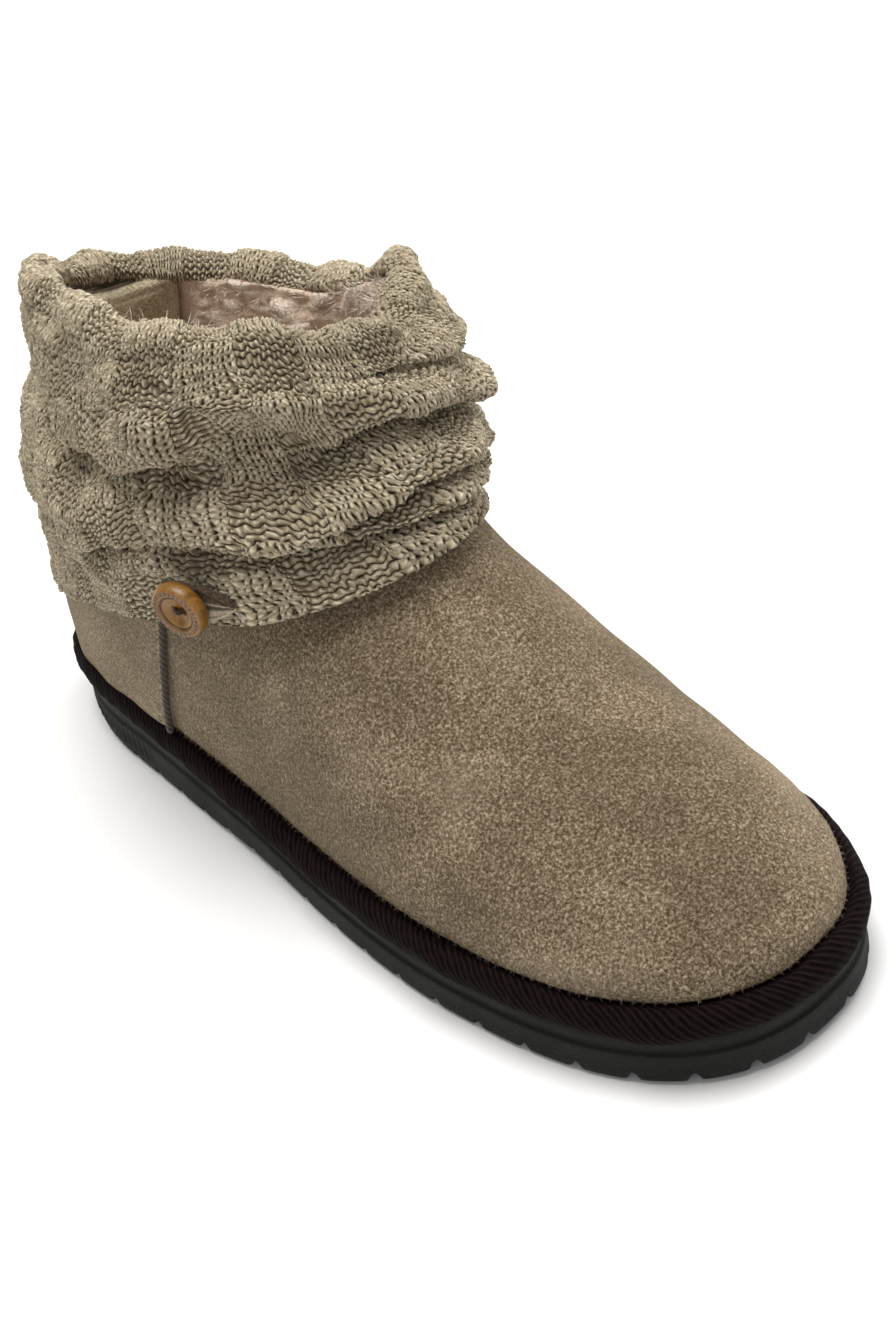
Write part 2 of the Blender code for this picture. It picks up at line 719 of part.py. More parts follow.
def main():
    clear_scene()
    shoe = bpy.data.collections.new("bootie_slipper")
    bpy.context.scene.collection.children.link(shoe)
    rubber = make_material("charcoal_rubber", (0.033, 0.033, 0.028), 0.6)
    tape = make_material("brown_tape", (0.012, 0.007, 0.008), 0.9)
    fleece = make_material("pink_fleece", (0.58, 0.42, 0.36), 1.0)
    suede = make_material("taupe_suede", (0.30, 0.24, 0.16), 0.95)
    counter = make_material("heel_suede", (0.35, 0.28, 0.20), 0.95)
    welt = make_material("brown_welt", (0.055, 0.035, 0.025), 0.9)
    knit = make_material("oatmeal_knit", (0.38, 0.33, 0.25), 1.0)
    strap = make_material("beige_suede", (0.42, 0.34, 0.25), 0.95)
    wood = make_material("honey_wood", (0.26, 0.11, 0.03), 0.4)
    build_outsole(rubber, shoe)
    build_midsole(tape, shoe)
    build_insole(fleece, shoe)
    build_upper(suede, shoe)
    build_counter(counter, shoe)
    build_piping("piping_lateral", 1, welt, shoe)
    build_piping("piping_medial", -1, welt, shoe)
    build_cuff(knit, shoe)
    build_facing(strap, shoe)
    build_tab(strap, shoe)
    build_button(wood, shoe)


main()
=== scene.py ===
"""Looks of a right bootie slipper: suede vamp, slouched knit cuff, fleece inside, bound sole.

Metres. The toe points to -Y, the outer side of the foot is -X, the ground is z = 0.
Sections follow the slipper as it is put together, from the sole up.
"""
from math import pi, radians

import bmesh
import bpy
import numpy as np
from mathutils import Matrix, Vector


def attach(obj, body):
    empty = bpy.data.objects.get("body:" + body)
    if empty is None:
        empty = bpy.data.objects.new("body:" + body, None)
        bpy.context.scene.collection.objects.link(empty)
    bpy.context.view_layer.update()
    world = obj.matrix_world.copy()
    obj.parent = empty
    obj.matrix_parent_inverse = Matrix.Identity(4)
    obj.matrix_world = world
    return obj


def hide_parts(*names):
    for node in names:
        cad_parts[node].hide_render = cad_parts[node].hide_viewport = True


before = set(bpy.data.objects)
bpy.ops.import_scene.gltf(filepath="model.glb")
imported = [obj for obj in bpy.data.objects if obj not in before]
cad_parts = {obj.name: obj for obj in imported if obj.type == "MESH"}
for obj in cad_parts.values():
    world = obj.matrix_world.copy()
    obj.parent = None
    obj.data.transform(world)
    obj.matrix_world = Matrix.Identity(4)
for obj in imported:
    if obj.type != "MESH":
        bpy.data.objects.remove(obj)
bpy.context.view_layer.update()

# ---- Outsole
# A moulded charcoal rubber sole, thick at the heel and thin at the forefoot. Its edge is cut
# into 48 lugs by small round bites, and a fine step runs along its side.

OUTSOLE_LENGTH = 0.270
HEEL_BACK = 0.038
GAP = 0.0003
OUTER_HALF_WIDTH = 0.0501
INNER_HALF_WIDTH = 0.0452

# Columns: share of the length from the heel, half width on the outer side and on the inner
# side as shares of the widest.
OUTLINE = [
    (0.00, 0.7365, 0.8230),
    (0.12, 0.7525, 0.8407),
    (0.42, 0.8723, 0.7743),
    (0.70, 1.0000, 1.0000),
    (0.86, 0.9202, 0.8628),
    (1.00, 0.8563, 0.7965),
]
HEEL_ROUND, TOE_ROUND = 0.19, 0.21
HEEL_POWER, TOE_POWER = 2.24, 2.36
HEEL_RUBBER, FOREFOOT_RUBBER = 0.0190, 0.0135
WEDGE_START, WEDGE_END = 0.20, 0.65
ARCH_RISE, TOE_SPRING = 0.0012, 0.0010
LUGS = 48
LUG_NOTCH = 0.0026


def ease(share):
    """Smooth step: 3s^2 - 2s^3 between 0 and 1."""
    share = np.clip(share, 0.0, 1.0)
    return share * share * (3.0 - 2.0 * share)


def track(table, column, at):
    """Cubic through one column of a table, flat at its turning points."""
    rows = np.array(table, float)
    xs, ys = rows[:, 0], rows[:, column]
    slope = np.diff(ys) / np.diff(xs)
    tangent = np.zeros(len(xs))
    product = slope[1:] * slope[:-1]
    tangent[1:-1] = np.where(product > 0, 2 * product / (slope[1:] + slope[:-1] + 1e-15), 0)
    tangent[0], tangent[-1] = slope[0], slope[-1]
    at = np.clip(at, xs[0], xs[-1])
    cell = np.clip(np.searchsorted(xs, at) - 1, 0, len(xs) - 2)
    width = xs[cell + 1] - xs[cell]
    u = (at - xs[cell]) / width
    start = ys[cell] * (1 + 2 * u) * (1 - u) ** 2 + tangent[cell] * width * u * (1 - u) ** 2
    end = ys[cell + 1] * u * u * (3 - 2 * u) + tangent[cell + 1] * width * u * u * (u - 1)
    return start + end


def share_of(y):
    """Share of the sole's length at a place y, 0 at the heel and 1 at the toe."""
    return (HEEL_BACK - y) / OUTSOLE_LENGTH


def half_widths(share, inset=0.0):
    """Table of half widths times a superellipse rounding at the heel and at the toe."""
    end = inset / OUTSOLE_LENGTH
    along = np.clip((share - end) / (1 - 2 * end), 0, 1)
    heel = np.clip(1 - along / HEEL_ROUND, 0, 1)
    toe = np.clip(1 - (1 - along) / TOE_ROUND, 0, 1)
    heel = (1 - heel ** HEEL_POWER) ** (1 / HEEL_POWER)
    toe = (1 - toe ** TOE_POWER) ** (1 / TOE_POWER)
    outer = (track(OUTLINE, 1, share) * OUTER_HALF_WIDTH - inset) * heel * toe
    inner = (track(OUTLINE, 2, share) * INNER_HALF_WIDTH - inset) * heel * toe
    return outer, inner


def rubber_top(share):
    """Height of the rubber: heel height eased down to the forefoot height."""
    slope = ease((share - WEDGE_START) / (WEDGE_END - WEDGE_START))
    return HEEL_RUBBER + (FOREFOOT_RUBBER - HEEL_RUBBER) * slope


def sole_rise(share):
    """Height of the tread over the ground: a low arch and a square law toe spring."""
    arch = ease((share - 0.33) / 0.08) * ease((0.55 - share) / 0.08)
    return ARCH_RISE * arch + TOE_SPRING * np.clip((share - 0.86) / 0.14, 0, 1) ** 2


def sole_ring(places, inset=0.0):
    """Outline at shares of its own length, moved in along its normal. The outer side comes first."""
    share = 0.5 - 0.5 * np.cos(pi * np.linspace(0, 1, 700))
    outer, inner = half_widths(share)
    y = HEEL_BACK - OUTSOLE_LENGTH * share
    x = np.concatenate([-outer, inner[-2::-1]])
    y = np.concatenate([y, y[-2::-1]])
    length = np.concatenate([[0], np.cumsum(np.hypot(np.diff(x), np.diff(y)))])
    length /= length[-1]
    px, py = np.interp(places, length, x), np.interp(places, length, y)
    ax, ay = (np.interp((places - 0.004) % 1, length, v) for v in (x, y))
    bx, by = (np.interp((places + 0.004) % 1, length, v) for v in (x, y))
    size = np.hypot(bx - ax, by - ay)
    return px + (ay - by) / size * inset, py + (bx - ax) / size * inset


def unit(vectors):
    """Each vector divided by its length."""
    return vectors / np.linalg.norm(vectors, axis=-1, keepdims=True)


def waves(points, size, seed, count=14):
    """Smooth noise near -1 to 1: a sum of sine waves about size long in random directions."""
    chance = np.random.default_rng(seed)
    way = unit(chance.normal(size=(count, points.shape[-1])))
    pace = 2 * pi / (size * chance.uniform(0.7, 1.4, count))
    phase = chance.uniform(0, 2 * pi, count)
    return np.sin(points @ (way * pace[:, None]).T + phase).sum(-1) / (count / 2) ** 0.5 * 0.7


def new_mesh(name, points, corners, sizes):
    """Mesh from points and from faces as one run of corners and the size of each face."""
    mesh = bpy.data.meshes.new(name)
    mesh.vertices.add(points.size // 3)
    mesh.vertices.foreach_set("co", points.ravel().astype(np.float32))
    mesh.loops.add(len(corners))
    mesh.loops.foreach_set("vertex_index", corners.astype(np.int32))
    mesh.polygons.add(len(sizes))
    mesh.polygons.foreach_set("loop_start", (np.cumsum(sizes) - sizes).astype(np.int32))
    mesh.polygons.foreach_set("use_smooth", np.ones(len(sizes), bool))
    return mesh


def set_relief(mesh, values):
    """A number per point, the relief attribute, that some materials read for colour: painted shade on the
    fleece, painted light and shade on the strap, stain and painted shade on the wood.
    """
    layer = mesh.attributes.new("relief", "FLOAT", "POINT")
    layer.data.foreach_set("value", values.ravel().astype(np.float32))


def add_piece(name, mesh, material):
    """Object at the origin that belongs to the shoe's one body."""
    mesh.materials.append(material)
    piece = bpy.data.objects.new(name, mesh)
    bpy.context.scene.collection.objects.link(piece)
    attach(piece, "root")
    return piece


def surface(name, grid, material, around=True, along=False, caps=False, poles=False, uv=None, relief=None):
    """Object from a grid of points (columns, rows, 3), faces out of columns cross rows.

    around closes the columns, along closes the rows, caps fills the first and last row,
    poles welds points that meet. uv holds one more column and row where they close.
    relief is a number per point.
    """
    columns, rows = grid.shape[:2]
    i, j = np.meshgrid(np.arange(columns - (not around)), np.arange(rows - (not along)), indexing="ij")
    i, j = i.ravel(), j.ravel()
    n, k = (i + 1) % columns, (j + 1) % rows
    quads = np.stack([i * rows + j, n * rows + j, n * rows + k, i * rows + k], -1)
    first = np.arange(columns) * rows
    ends = [first[::-1], first + rows - 1] if caps else []
    corners = np.concatenate([quads.ravel(), *ends])
    sizes = np.concatenate([np.full(len(quads), 4), [len(end) for end in ends]]).astype(int)
    mesh = new_mesh(name, grid, corners, sizes)
    if uv is not None:
        layer = mesh.uv_layers.new(name="UVMap")
        table = np.stack([uv[i, j], uv[i + 1, j], uv[i + 1, j + 1], uv[i, j + 1]], 1).reshape(-1, 2)
        flat = np.zeros((len(corners), 2))
        flat[:len(table)] = table
        layer.data.foreach_set("uv", flat.ravel().astype(np.float32))
    if relief is not None:
        set_relief(mesh, relief)
    mesh.update(calc_edges=True)
    mesh.validate()
    if poles:
        shape = bmesh.new()
        shape.from_mesh(mesh)
        bmesh.ops.remove_doubles(shape, verts=shape.verts, dist=1e-6)
        shape.to_mesh(mesh)
        shape.free()
    return add_piece(name, mesh, material)


def spikes(name, roots, ways, lengths, thick, bends, material):
    """Fine hairs: closed spikes, three corners at the root, three half way and a bent tip."""
    ways = unit(ways)
    side = unit(np.cross(ways, [0.31, 0.52, 0.79]))
    other = np.cross(ways, side)
    corner = 2 * pi * np.arange(3) / 3
    ring = side[:, None] * np.cos(corner)[:, None] + other[:, None] * np.sin(corner)[:, None]
    middle = roots + ways * lengths[:, None] * 0.5 + bends * 0.3
    tip = roots + ways * lengths[:, None] + bends
    rings = [roots[:, None] + ring * thick, middle[:, None] + ring * thick * 0.7, tip[:, None]]
    faces = np.array([(0, 2, 1), (0, 1, 4), (0, 4, 3), (1, 2, 5), (1, 5, 4),
                      (2, 0, 3), (2, 3, 5), (3, 4, 6), (4, 5, 6), (5, 3, 6)])
    corners = (faces[None] + 7 * np.arange(len(roots))[:, None, None]).ravel()
    mesh = new_mesh(name, np.concatenate(rings, 1), corners, np.full(len(corners) // 3, 3))
    # Relief rises from root to tip, so on the fleece curls the roots are painted darker: painted shade.
    set_relief(mesh, np.tile([0.6, 0.6, 0.6, 0.85, 0.85, 0.85, 1.0], len(roots)))
    mesh.update(calc_edges=True)
    return add_piece(name, mesh, material)


def rgb(code):
    """Linear colour of a hex code."""
    values = np.array([int(code[k:k + 2], 16) / 255 for k in (1, 3, 5)])
    linear = np.where(values < 0.04045, values / 12.92, ((values + 0.055) / 1.055) ** 2.4)
    return (*map(float, linear), 1.0)


def node(tree, kind, sockets=None, **settings):
    """New shader node. sockets holds values or links by input name or number."""
    made = tree.nodes.new("ShaderNode" + kind)
    for name, value in settings.items():
        setattr(made, name, value)
    for name, value in (sockets or {}).items():
        if isinstance(value, bpy.types.NodeSocket):
            tree.links.new(value, made.inputs[name])
        else:
            made.inputs[name].default_value = value
    return made


def noise(tree, place, size, detail=2.0, rough=0.5, **sockets):
    """Noise value with features about size metres long."""
    sockets |= {"Vector": place, "Scale": 1 / size, "Detail": detail, "Roughness": rough}
    return node(tree, "TexNoise", sockets).outputs["Fac"]


def ramp(tree, factor, *stops):
    """Colour ramp. Stops are pairs of a place and a hex code or a grey value."""
    made = node(tree, "ValToRGB", {"Fac": factor})
    while len(made.color_ramp.elements) < len(stops):
        made.color_ramp.elements.new(0.5)
    for element, (place, value) in zip(made.color_ramp.elements, stops):
        element.position = place
        element.color = rgb(value) if isinstance(value, str) else (value, value, value, 1.0)
    return made.outputs["Color"]


def mixed(tree, factor, first, second):
    """Two colours mixed."""
    return node(tree, "Mix", {0: factor, 6: first, 7: second}, data_type="RGBA").outputs[2]


def tinted(tree, color, factor, code, *stops):
    """A colour with another laid over it where a ramp of the factor says so."""
    return mixed(tree, ramp(tree, factor, *stops), color, rgb(code))


def maths(tree, operation, *values):
    """One Math node."""
    return node(tree, "Math", dict(enumerate(values)), operation=operation).outputs[0]


def finish(name, sockets):
    """New material with its Principled shader's constants set. Returns the material, tree and shader."""
    material = bpy.data.materials.new(name)
    material.use_nodes = True
    tree = material.node_tree
    shader = tree.nodes["Principled BSDF"]
    for socket, value in sockets.items():
        shader.inputs[socket].default_value = value
    return material, tree, shader


def connect(tree, shader, color, rough, height, distance, strength=1.0):
    """Colour, roughness and a bump of a given depth in metres go into the shader."""
    bump = node(tree, "Bump", {"Height": height, "Distance": distance, "Strength": strength})
    tree.links.new(color, shader.inputs["Base Color"])
    tree.links.new(rough, shader.inputs["Roughness"])
    tree.links.new(bump.outputs["Normal"], shader.inputs["Normal"])


rubber, tree, shader = finish("charcoal_rubber", {"Specular IOR Level": 0.22})
place = node(tree, "TexCoord").outputs["Object"]
cloud = noise(tree, place, 0.018, 3.0)
speck = noise(tree, place, 0.0011, 3.0, 0.6)
pitch = node(tree, "TexVoronoi", {"Vector": place, "Scale": 1400.0}).outputs["Distance"]
color = ramp(tree, cloud, (0.30, "#0B0C0A"), (0.55, "#10110F"), (0.75, "#161713"))
color = tinted(tree, color, speck, "#38362D", (0.56, 0.0), (0.74, 0.30))
height = maths(tree, "ADD", maths(tree, "MULTIPLY", speck, 0.7), maths(tree, "MULTIPLY", pitch, 0.5))
connect(tree, shader, color, ramp(tree, cloud, (0.3, 0.62), (0.7, 0.78)), height, 0.00022, 0.6)

places = np.arange(LUGS * 16) / (LUGS * 16)
phase = (places * LUGS) % 1.0
bite = np.exp(-(np.abs(phase - 0.5) / 0.085) ** 3)
share = share_of(sole_ring(places)[1])
# Columns: inset from the outline, share of the rubber's height, share of the bite's depth.
OUTSOLE_PROFILE = [
    (0.0150, 0.00, 0.00), (0.0142, 0.00, 0.60), (0.0138, 0.00, 1.00), (0.0080, 0.00, 1.00),
    (0.0026, 0.00, 1.00), (0.0016, 0.01, 1.00), (0.0009, 0.035, 0.97), (0.0005, 0.07, 0.88),
    (0.0003, 0.11, 0.74), (0.0002, 0.16, 0.55), (0.0002, 0.22, 0.34), (0.0003, 0.29, 0.15),
    (0.0004, 0.37, 0.04), (0.0005, 0.46, 0.00), (0.0005, 0.60, 0.00), (0.0006, 0.63, 0.00),
    (0.0011, 0.655, 0.00), (0.0013, 0.68, 0.00), (0.0012, 0.80, 0.00), (0.0012, 0.93, 0.00),
    (0.0016, 0.98, 0.00), (0.0026, 1.00, 0.00),
]
# Plain upright grip ribs on the outer side of the heel.
rib_span = ease((places - 0.058) / 0.008) * ease((0.138 - places) / 0.008)
rib = rib_span * np.clip(np.cos(2 * pi * (places - 0.058) / 0.0050) * 2.0, 0, 1)
rings = []
for inset, level, deep in OUTSOLE_PROFILE:
    band = ease((level - 0.20) / 0.07) * ease((0.58 - level) / 0.05)
    x, y = sole_ring(places, inset)
    nx, ny = sole_ring(places, inset - 0.001)
    out = (rib * band * 0.45)[None, :]
    low, top = sole_rise(share), rubber_top(share)
    z = low + (top - low) * level + LUG_NOTCH * deep * bite
    rings.append(np.stack([x + (nx - x) * out[0], y + (ny - y) * out[0], z], -1))
outsole = surface("rubber_outsole", np.stack(rings, 1), rubber, caps=True)
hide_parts("outsole")

# ---- Wrapped midsole
# A thin midsole board whose edge is wrapped in dark brown twill tape. The tape is soft, so it
# swells a little past the rubber and turns in under the suede.

MIDSOLE_HEIGHT = 0.0070
FEATHER_INSET = 0.0036


def midsole_top(share):
    """Height of the seat of the upper over the ground."""
    return rubber_top(share) + GAP + MIDSOLE_HEIGHT


twill, tree, shader = finish("brown_tape", {
    "Specular IOR Level": 0.06, "Sheen Weight": 0.03, "Sheen Roughness": 0.5, "Sheen Tint": rgb("#4A302C"),
})
weave = node(tree, "UVMap", uv_map="UVMap").outputs["UV"]
place = node(tree, "TexCoord").outputs["Object"]
ribs = node(tree, "TexWave", {
    "Vector": weave, "Scale": 0.315, "Distortion": 0.9, "Detail": 2.0, "Detail Scale": 1.6,
}, bands_direction="DIAGONAL").outputs["Fac"]
slub = noise(tree, weave, 1.9, 3.0)
thread = noise(tree, weave, 0.32, 2.0)
lint = noise(tree, place, 0.0007, 2.0)
color = ramp(tree, ribs, (0.20, "#050303"), (0.62, "#0E0909"), (0.92, "#1E1314"))
color = tinted(tree, color, slub, "#20120F", (0.45, 0.0), (0.75, 0.60))
color = tinted(tree, color, lint, "#3A2B26", (0.66, 0.0), (0.80, 0.30))
height = maths(tree, "ADD", ribs, maths(tree, "MULTIPLY", thread, 0.6))
connect(tree, shader, color, ramp(tree, thread, (0.3, 0.72), (0.7, 0.95)), height, 0.00030, 0.8)

places = np.arange(900) / 900
share = share_of(sole_ring(places)[1])
perimeter = np.hypot(*np.diff(np.stack(sole_ring(np.linspace(0, 1, 901))), axis=1)).sum()
# Columns: share of the midsole's height, inset from the outline in shares of the feather inset.
TAPE_PROFILE = [
    (0.00, 0.90), (0.00, 0.42), (0.03, 0.16), (0.10, -0.06), (0.20, -0.19), (0.34, -0.26), (0.50, -0.27),
    (0.66, -0.22), (0.80, -0.09), (0.91, 0.10), (1.00, 0.33), (1.04, 0.52), (1.03, 0.68), (0.99, 0.82),
    (0.93, 0.95), (0.90, 1.15), (0.90, 1.70),
]
rings = []
for level, inset in TAPE_PROFILE:
    x, y = sole_ring(places, inset * FEATHER_INSET)
    rings.append(np.stack([x, y, rubber_top(share) + GAP + MIDSOLE_HEIGHT * level], -1))
grid = np.stack(rings, 1)
# The tape's own run over the edge, in millimetres like its weave.
steps = np.diff(np.array(TAPE_PROFILE) * [MIDSOLE_HEIGHT, FEATHER_INSET], axis=0)
run = 1000 * np.concatenate([[0], np.cumsum(np.hypot(*steps.T))])
swell = ease(run / 4) * ease((run[-1] - run) / 4)
outward = unit(np.concatenate([grid[:, 6, :2] - grid[:, 1, :2], np.zeros((900, 1))], 1))[:, None]
lumps = 0.00028 * waves(grid, 0.013, 3) + 0.00016 * waves(grid, 0.004, 4)
grid = grid + outward * lumps[..., None] * swell[None, :, None]
grid[..., 2] += 0.00030 * waves(grid, 0.016, 5) * swell
uv = np.stack(np.meshgrid(np.linspace(0, perimeter * 1000, 901), run, indexing="ij"), -1)
tape = surface("taped_midsole", grid, twill, caps=True, uv=uv)
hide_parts("wrapped_midsole")

# ---- Insole
# A loose footbed of the same pink fleece as the lining, 5 mm thick, that lies inside the upper.

UPPER_WALL = 0.0025
INSOLE_HEIGHT = 0.0050

fleece, tree, shader = finish("pink_fleece", {
    "Specular IOR Level": 0.05, "Sheen Weight": 0.25, "Sheen Roughness": 0.6, "Sheen Tint": rgb("#F0DED2"),
})
place = node(tree, "TexCoord").outputs["Object"]
curl = noise(tree, place, 0.0016, 4.0, 0.65, Distortion=1.6)
hair = noise(tree, place, 0.0005, 2.0, 0.6)
# The relief mask read here paints shade: low values, in the valleys between tufts and at the roots of the curls,
# take the darker colours, and the tops the palest.
depth = node(tree, "Attribute", attribute_name="relief").outputs["Fac"]
color = ramp(tree, depth, (0.0, "#E9CFB5"), (0.35, "#F5DEC7"), (0.75, "#FAE8D6"), (1.0, "#FFF5E9"))
color = tinted(tree, color, curl, "#E4C6AC", (0.35, 0.40), (0.60, 0.0))
height = maths(tree, "ADD", curl, maths(tree, "MULTIPLY", hair, 0.35))
connect(tree, shader, color, ramp(tree, hair, (0.3, 0.9), (0.7, 1.0)), height, 0.0011, 0.9)


def clumps(points):
    """Fleece height 0 to 1: rounded tufts between sharp valleys, in the sizes of three sine noises."""
    sizes = ((0.0150, 11), (0.0062, 12), (0.0031, 13))
    big, small, tiny = (np.abs(waves(points, size, seed)) for size, seed in sizes)
    return np.clip(0.42 * big + 0.38 * small + 0.34 * tiny, 0, 1.15) / 1.15


lengths = np.linspace(0.0, 1.0, 140)
turns = 2 * pi * np.arange(80) / 80
inset = FEATHER_INSET + UPPER_WALL + 0.0012
end = inset / OUTSOLE_LENGTH
share = end + (1 - 2 * end) * (0.5 - 0.5 * np.cos(pi * lengths))
outer, inner = half_widths(share, inset)
middle, half = ((inner - outer) / 2)[:, None], ((inner + outer) / 2)[:, None]
swing = np.sign(np.cos(turns)) * np.abs(np.cos(turns)) ** 0.8
rise = np.sign(np.sin(turns)) * np.abs(np.sin(turns)) ** 0.5 * ease(half / 0.006)
level = midsole_top(share)[:, None] + GAP + INSOLE_HEIGHT * (0.5 + 0.5 * rise)
y = np.broadcast_to((HEEL_BACK - OUTSOLE_LENGTH * share)[:, None], level.shape)
grid = np.stack([middle + half * swing, y, level], -1)
tuft = clumps(grid) * np.clip(rise, 0, 1) * ease(half / 0.012)
grid[..., 2] += 0.0016 * (tuft - 0.35 * np.clip(rise, 0, 1))
# The tuft heights go out as relief, so the fleece is painted darker in the valleys: painted shade.
insole = surface("fleece_insole", grid.transpose(1, 0, 2), fleece, poles=True, relief=tuft.T)
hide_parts("insole")

# ---- Suede upper
# One vamp and quarter shell of taupe microsuede, 2.5 mm thick, lasted over a rounded toe and a
# high instep. Its nap lies unevenly, so it shows clouds, short strokes and dark flecks.

INSTEP_HEIGHT = 0.1157
# Ridge line of the last. Columns: share of the length, height as a share of the instep's.
RIDGE = [(0.00, 0.533), (0.30, 0.844), (0.50, 1.000), (0.58, 0.836), (0.68, 0.622), (0.78, 0.468),
         (0.88, 0.378), (1.00, 0.274)]
SECTION_SIDE_POWER, SECTION_TOP_POWER = 2.05, 1.80
TOE_DROP_SHARE, TOE_DROP_POWER = 0.15, 2.5
RIM_HEIGHT = 0.1355
COLLAR_HALF_WIDTH, COLLAR_HALF_LENGTH = 0.0370, 0.0535
# Ankle tube. Columns: share of the rim height, centre across as a share of the half width,
# centre along as a share of the sole, half width and half length as shares of the collar's.
SHAFT = [
    (0.000, 0.000, 0.2963, 0.892, 1.346),
    (0.336, 0.000, 0.2963, 0.905, 1.346),
    (0.448, 0.013, 0.3019, 0.913, 1.318),
    (0.597, 0.054, 0.3185, 0.946, 1.224),
    (0.784, 0.135, 0.3426, 0.981, 1.112),
    (1.007, 0.216, 0.3593, 1.000, 1.000),
    (1.420, 0.216, 0.3593, 1.000, 1.000),
]
SHAFT_POWER = 2.3
INSTEP_FILLET = 0.0047
BLEND_RADIUS = 1.216 * COLLAR_HALF_WIDTH
RIM_SLOPE_ACROSS, RIM_SLOPE_ALONG = -0.24, -0.09
COLLAR_BELOW_RIM = 0.0060
SEAM_SHARE, SEAM_TURN = 0.1665, radians(124)
# How the collar's edge rises and dips. Columns: turn in degrees from the back over the outer
# side, metres.
COLLAR_WAVE = [
    (0, 0.0022), (15, 0.0034), (30, 0.0030), (50, 0.0026), (64, 0.0036), (80, 0.0034), (95, 0.0010),
    (106, -0.0030), (118, -0.0064), (145, -0.0076), (170, -0.0074), (188, -0.0060), (205, -0.0026),
    (225, 0.0004), (240, 0.0008), (258, 0.0004), (276, -0.0004), (292, -0.0028), (306, -0.0036),
    (320, -0.0044), (332, -0.0040), (344, -0.0012), (354, 0.0012),
]
# Inner point from which the skin of the last is read.
ORIGIN = np.array([0.001, HEEL_BACK - 0.3556 * OUTSOLE_LENGTH, 0.336 * RIM_HEIGHT])


def body(points):
    """Foot part of the last: side power of x over half width plus top power of the rise, below 0 inside."""
    share = share_of(points[..., 1])
    outer, inner = half_widths(share, FEATHER_INSET)
    width = np.where(points[..., 0] < 0, outer, inner) + 1e-6
    low = midsole_top(share)
    drop = np.clip(1 - (1 - share - FEATHER_INSET / OUTSOLE_LENGTH) / TOE_DROP_SHARE, 0, 1)
    drop = (1 - drop ** TOE_DROP_POWER) ** (1 / TOE_DROP_POWER)
    high = low + (track(RIDGE, 1, share) * INSTEP_HEIGHT - low) * drop + 1e-6
    rise = np.clip((points[..., 2] - low) / (high - low), 0, 9)
    value = np.abs(points[..., 0] / width) ** SECTION_SIDE_POWER + rise ** SECTION_TOP_POWER
    end = FEATHER_INSET / OUTSOLE_LENGTH
    value = np.where((share > end) & (share < 1 - end), value, 9.0)
    return (value ** 0.5 - 1) * BLEND_RADIUS


def shaft_section(z):
    """Centre and half sizes of the ankle tube at a height, read from its table."""
    table = np.array(SHAFT)
    cx, cy, ax, ay = (np.interp(z / RIM_HEIGHT, table[:, 0], table[:, k]) for k in (1, 2, 3, 4))
    middle = (cx * COLLAR_HALF_WIDTH, HEEL_BACK - OUTSOLE_LENGTH * cy)
    return *middle, ax * COLLAR_HALF_WIDTH, ay * COLLAR_HALF_LENGTH


def last_value(points):
    """Foot and ankle tube joined by a smooth union, below 0 inside the last."""
    cx, cy, ax, ay = shaft_section(points[..., 2])
    across, along = np.abs((points[..., 0] - cx) / ax), np.abs((points[..., 1] - cy) / ay)
    tube = ((across ** SHAFT_POWER + along ** SHAFT_POWER) ** (1 / SHAFT_POWER) - 1) * BLEND_RADIUS
    return -np.log(np.exp(-body(points) / INSTEP_FILLET) + np.exp(-tube / INSTEP_FILLET)) * INSTEP_FILLET


def reach(directions):
    """Distance from ORIGIN to the skin of the last: first step outside, then halved 12 times."""
    steps = np.linspace(0.044, 0.741, 70) * OUTSOLE_LENGTH
    low = np.full(directions.shape[:-1], steps[0])
    found = np.zeros(directions.shape[:-1], bool)
    for step in steps[1:]:
        found |= last_value(ORIGIN + directions * step) >= 0
        low = np.where(found, low, step)
    high = low + (steps[1] - steps[0])
    for _ in range(12):
        middle = (low + high) / 2
        inside = last_value(ORIGIN + directions * middle[..., None]) < 0
        low, high = np.where(inside, middle, low), np.where(inside, high, middle)
    return (low + high) / 2


# How the meridians fan out. Columns: share round the sole, turn round the collar.
FAN = [(0.0, 0.0), (SEAM_SHARE, SEAM_TURN), (0.5, pi), (1 - SEAM_SHARE, 2 * pi - SEAM_TURN), (1.0, 2 * pi)]


def lengths_along(line):
    """Running length of each row of points, starting at 0."""
    steps = np.linalg.norm(np.diff(line, axis=1), axis=2)
    return np.concatenate([np.zeros((len(line), 1)), np.cumsum(steps, axis=1)], axis=1)


def pick(line, cell):
    """Points between the samples of each row, at a whole and part number for each."""
    low = np.clip(cell.astype(int), 0, line.shape[1] - 2)
    i = np.arange(len(line))[:, None]
    u = (cell - low)[..., None]
    return line[i, low] * (1 - u) + line[i, low + 1] * u


def spread(line, start, end, count):
    """Whole and part numbers that space count points evenly between two shares of each row."""
    run = lengths_along(line)
    share = start[:, None] + (end - start)[:, None] * np.linspace(0, 1, count)
    want = share * run[:, -1:]
    samples = np.arange(line.shape[1])
    return np.stack([np.interp(want[k], run[k], samples) for k in range(len(line))])


def lap(points, column, turn):
    """One column of a table of turns read round the collar, rounded off over 10 degrees."""
    points = np.array(points, float)
    degrees = np.degrees(turn)[:, None] + np.linspace(-5, 5, 7)[None, :]
    return np.interp(degrees, points[:, 0], points[:, column], period=360).mean(1)


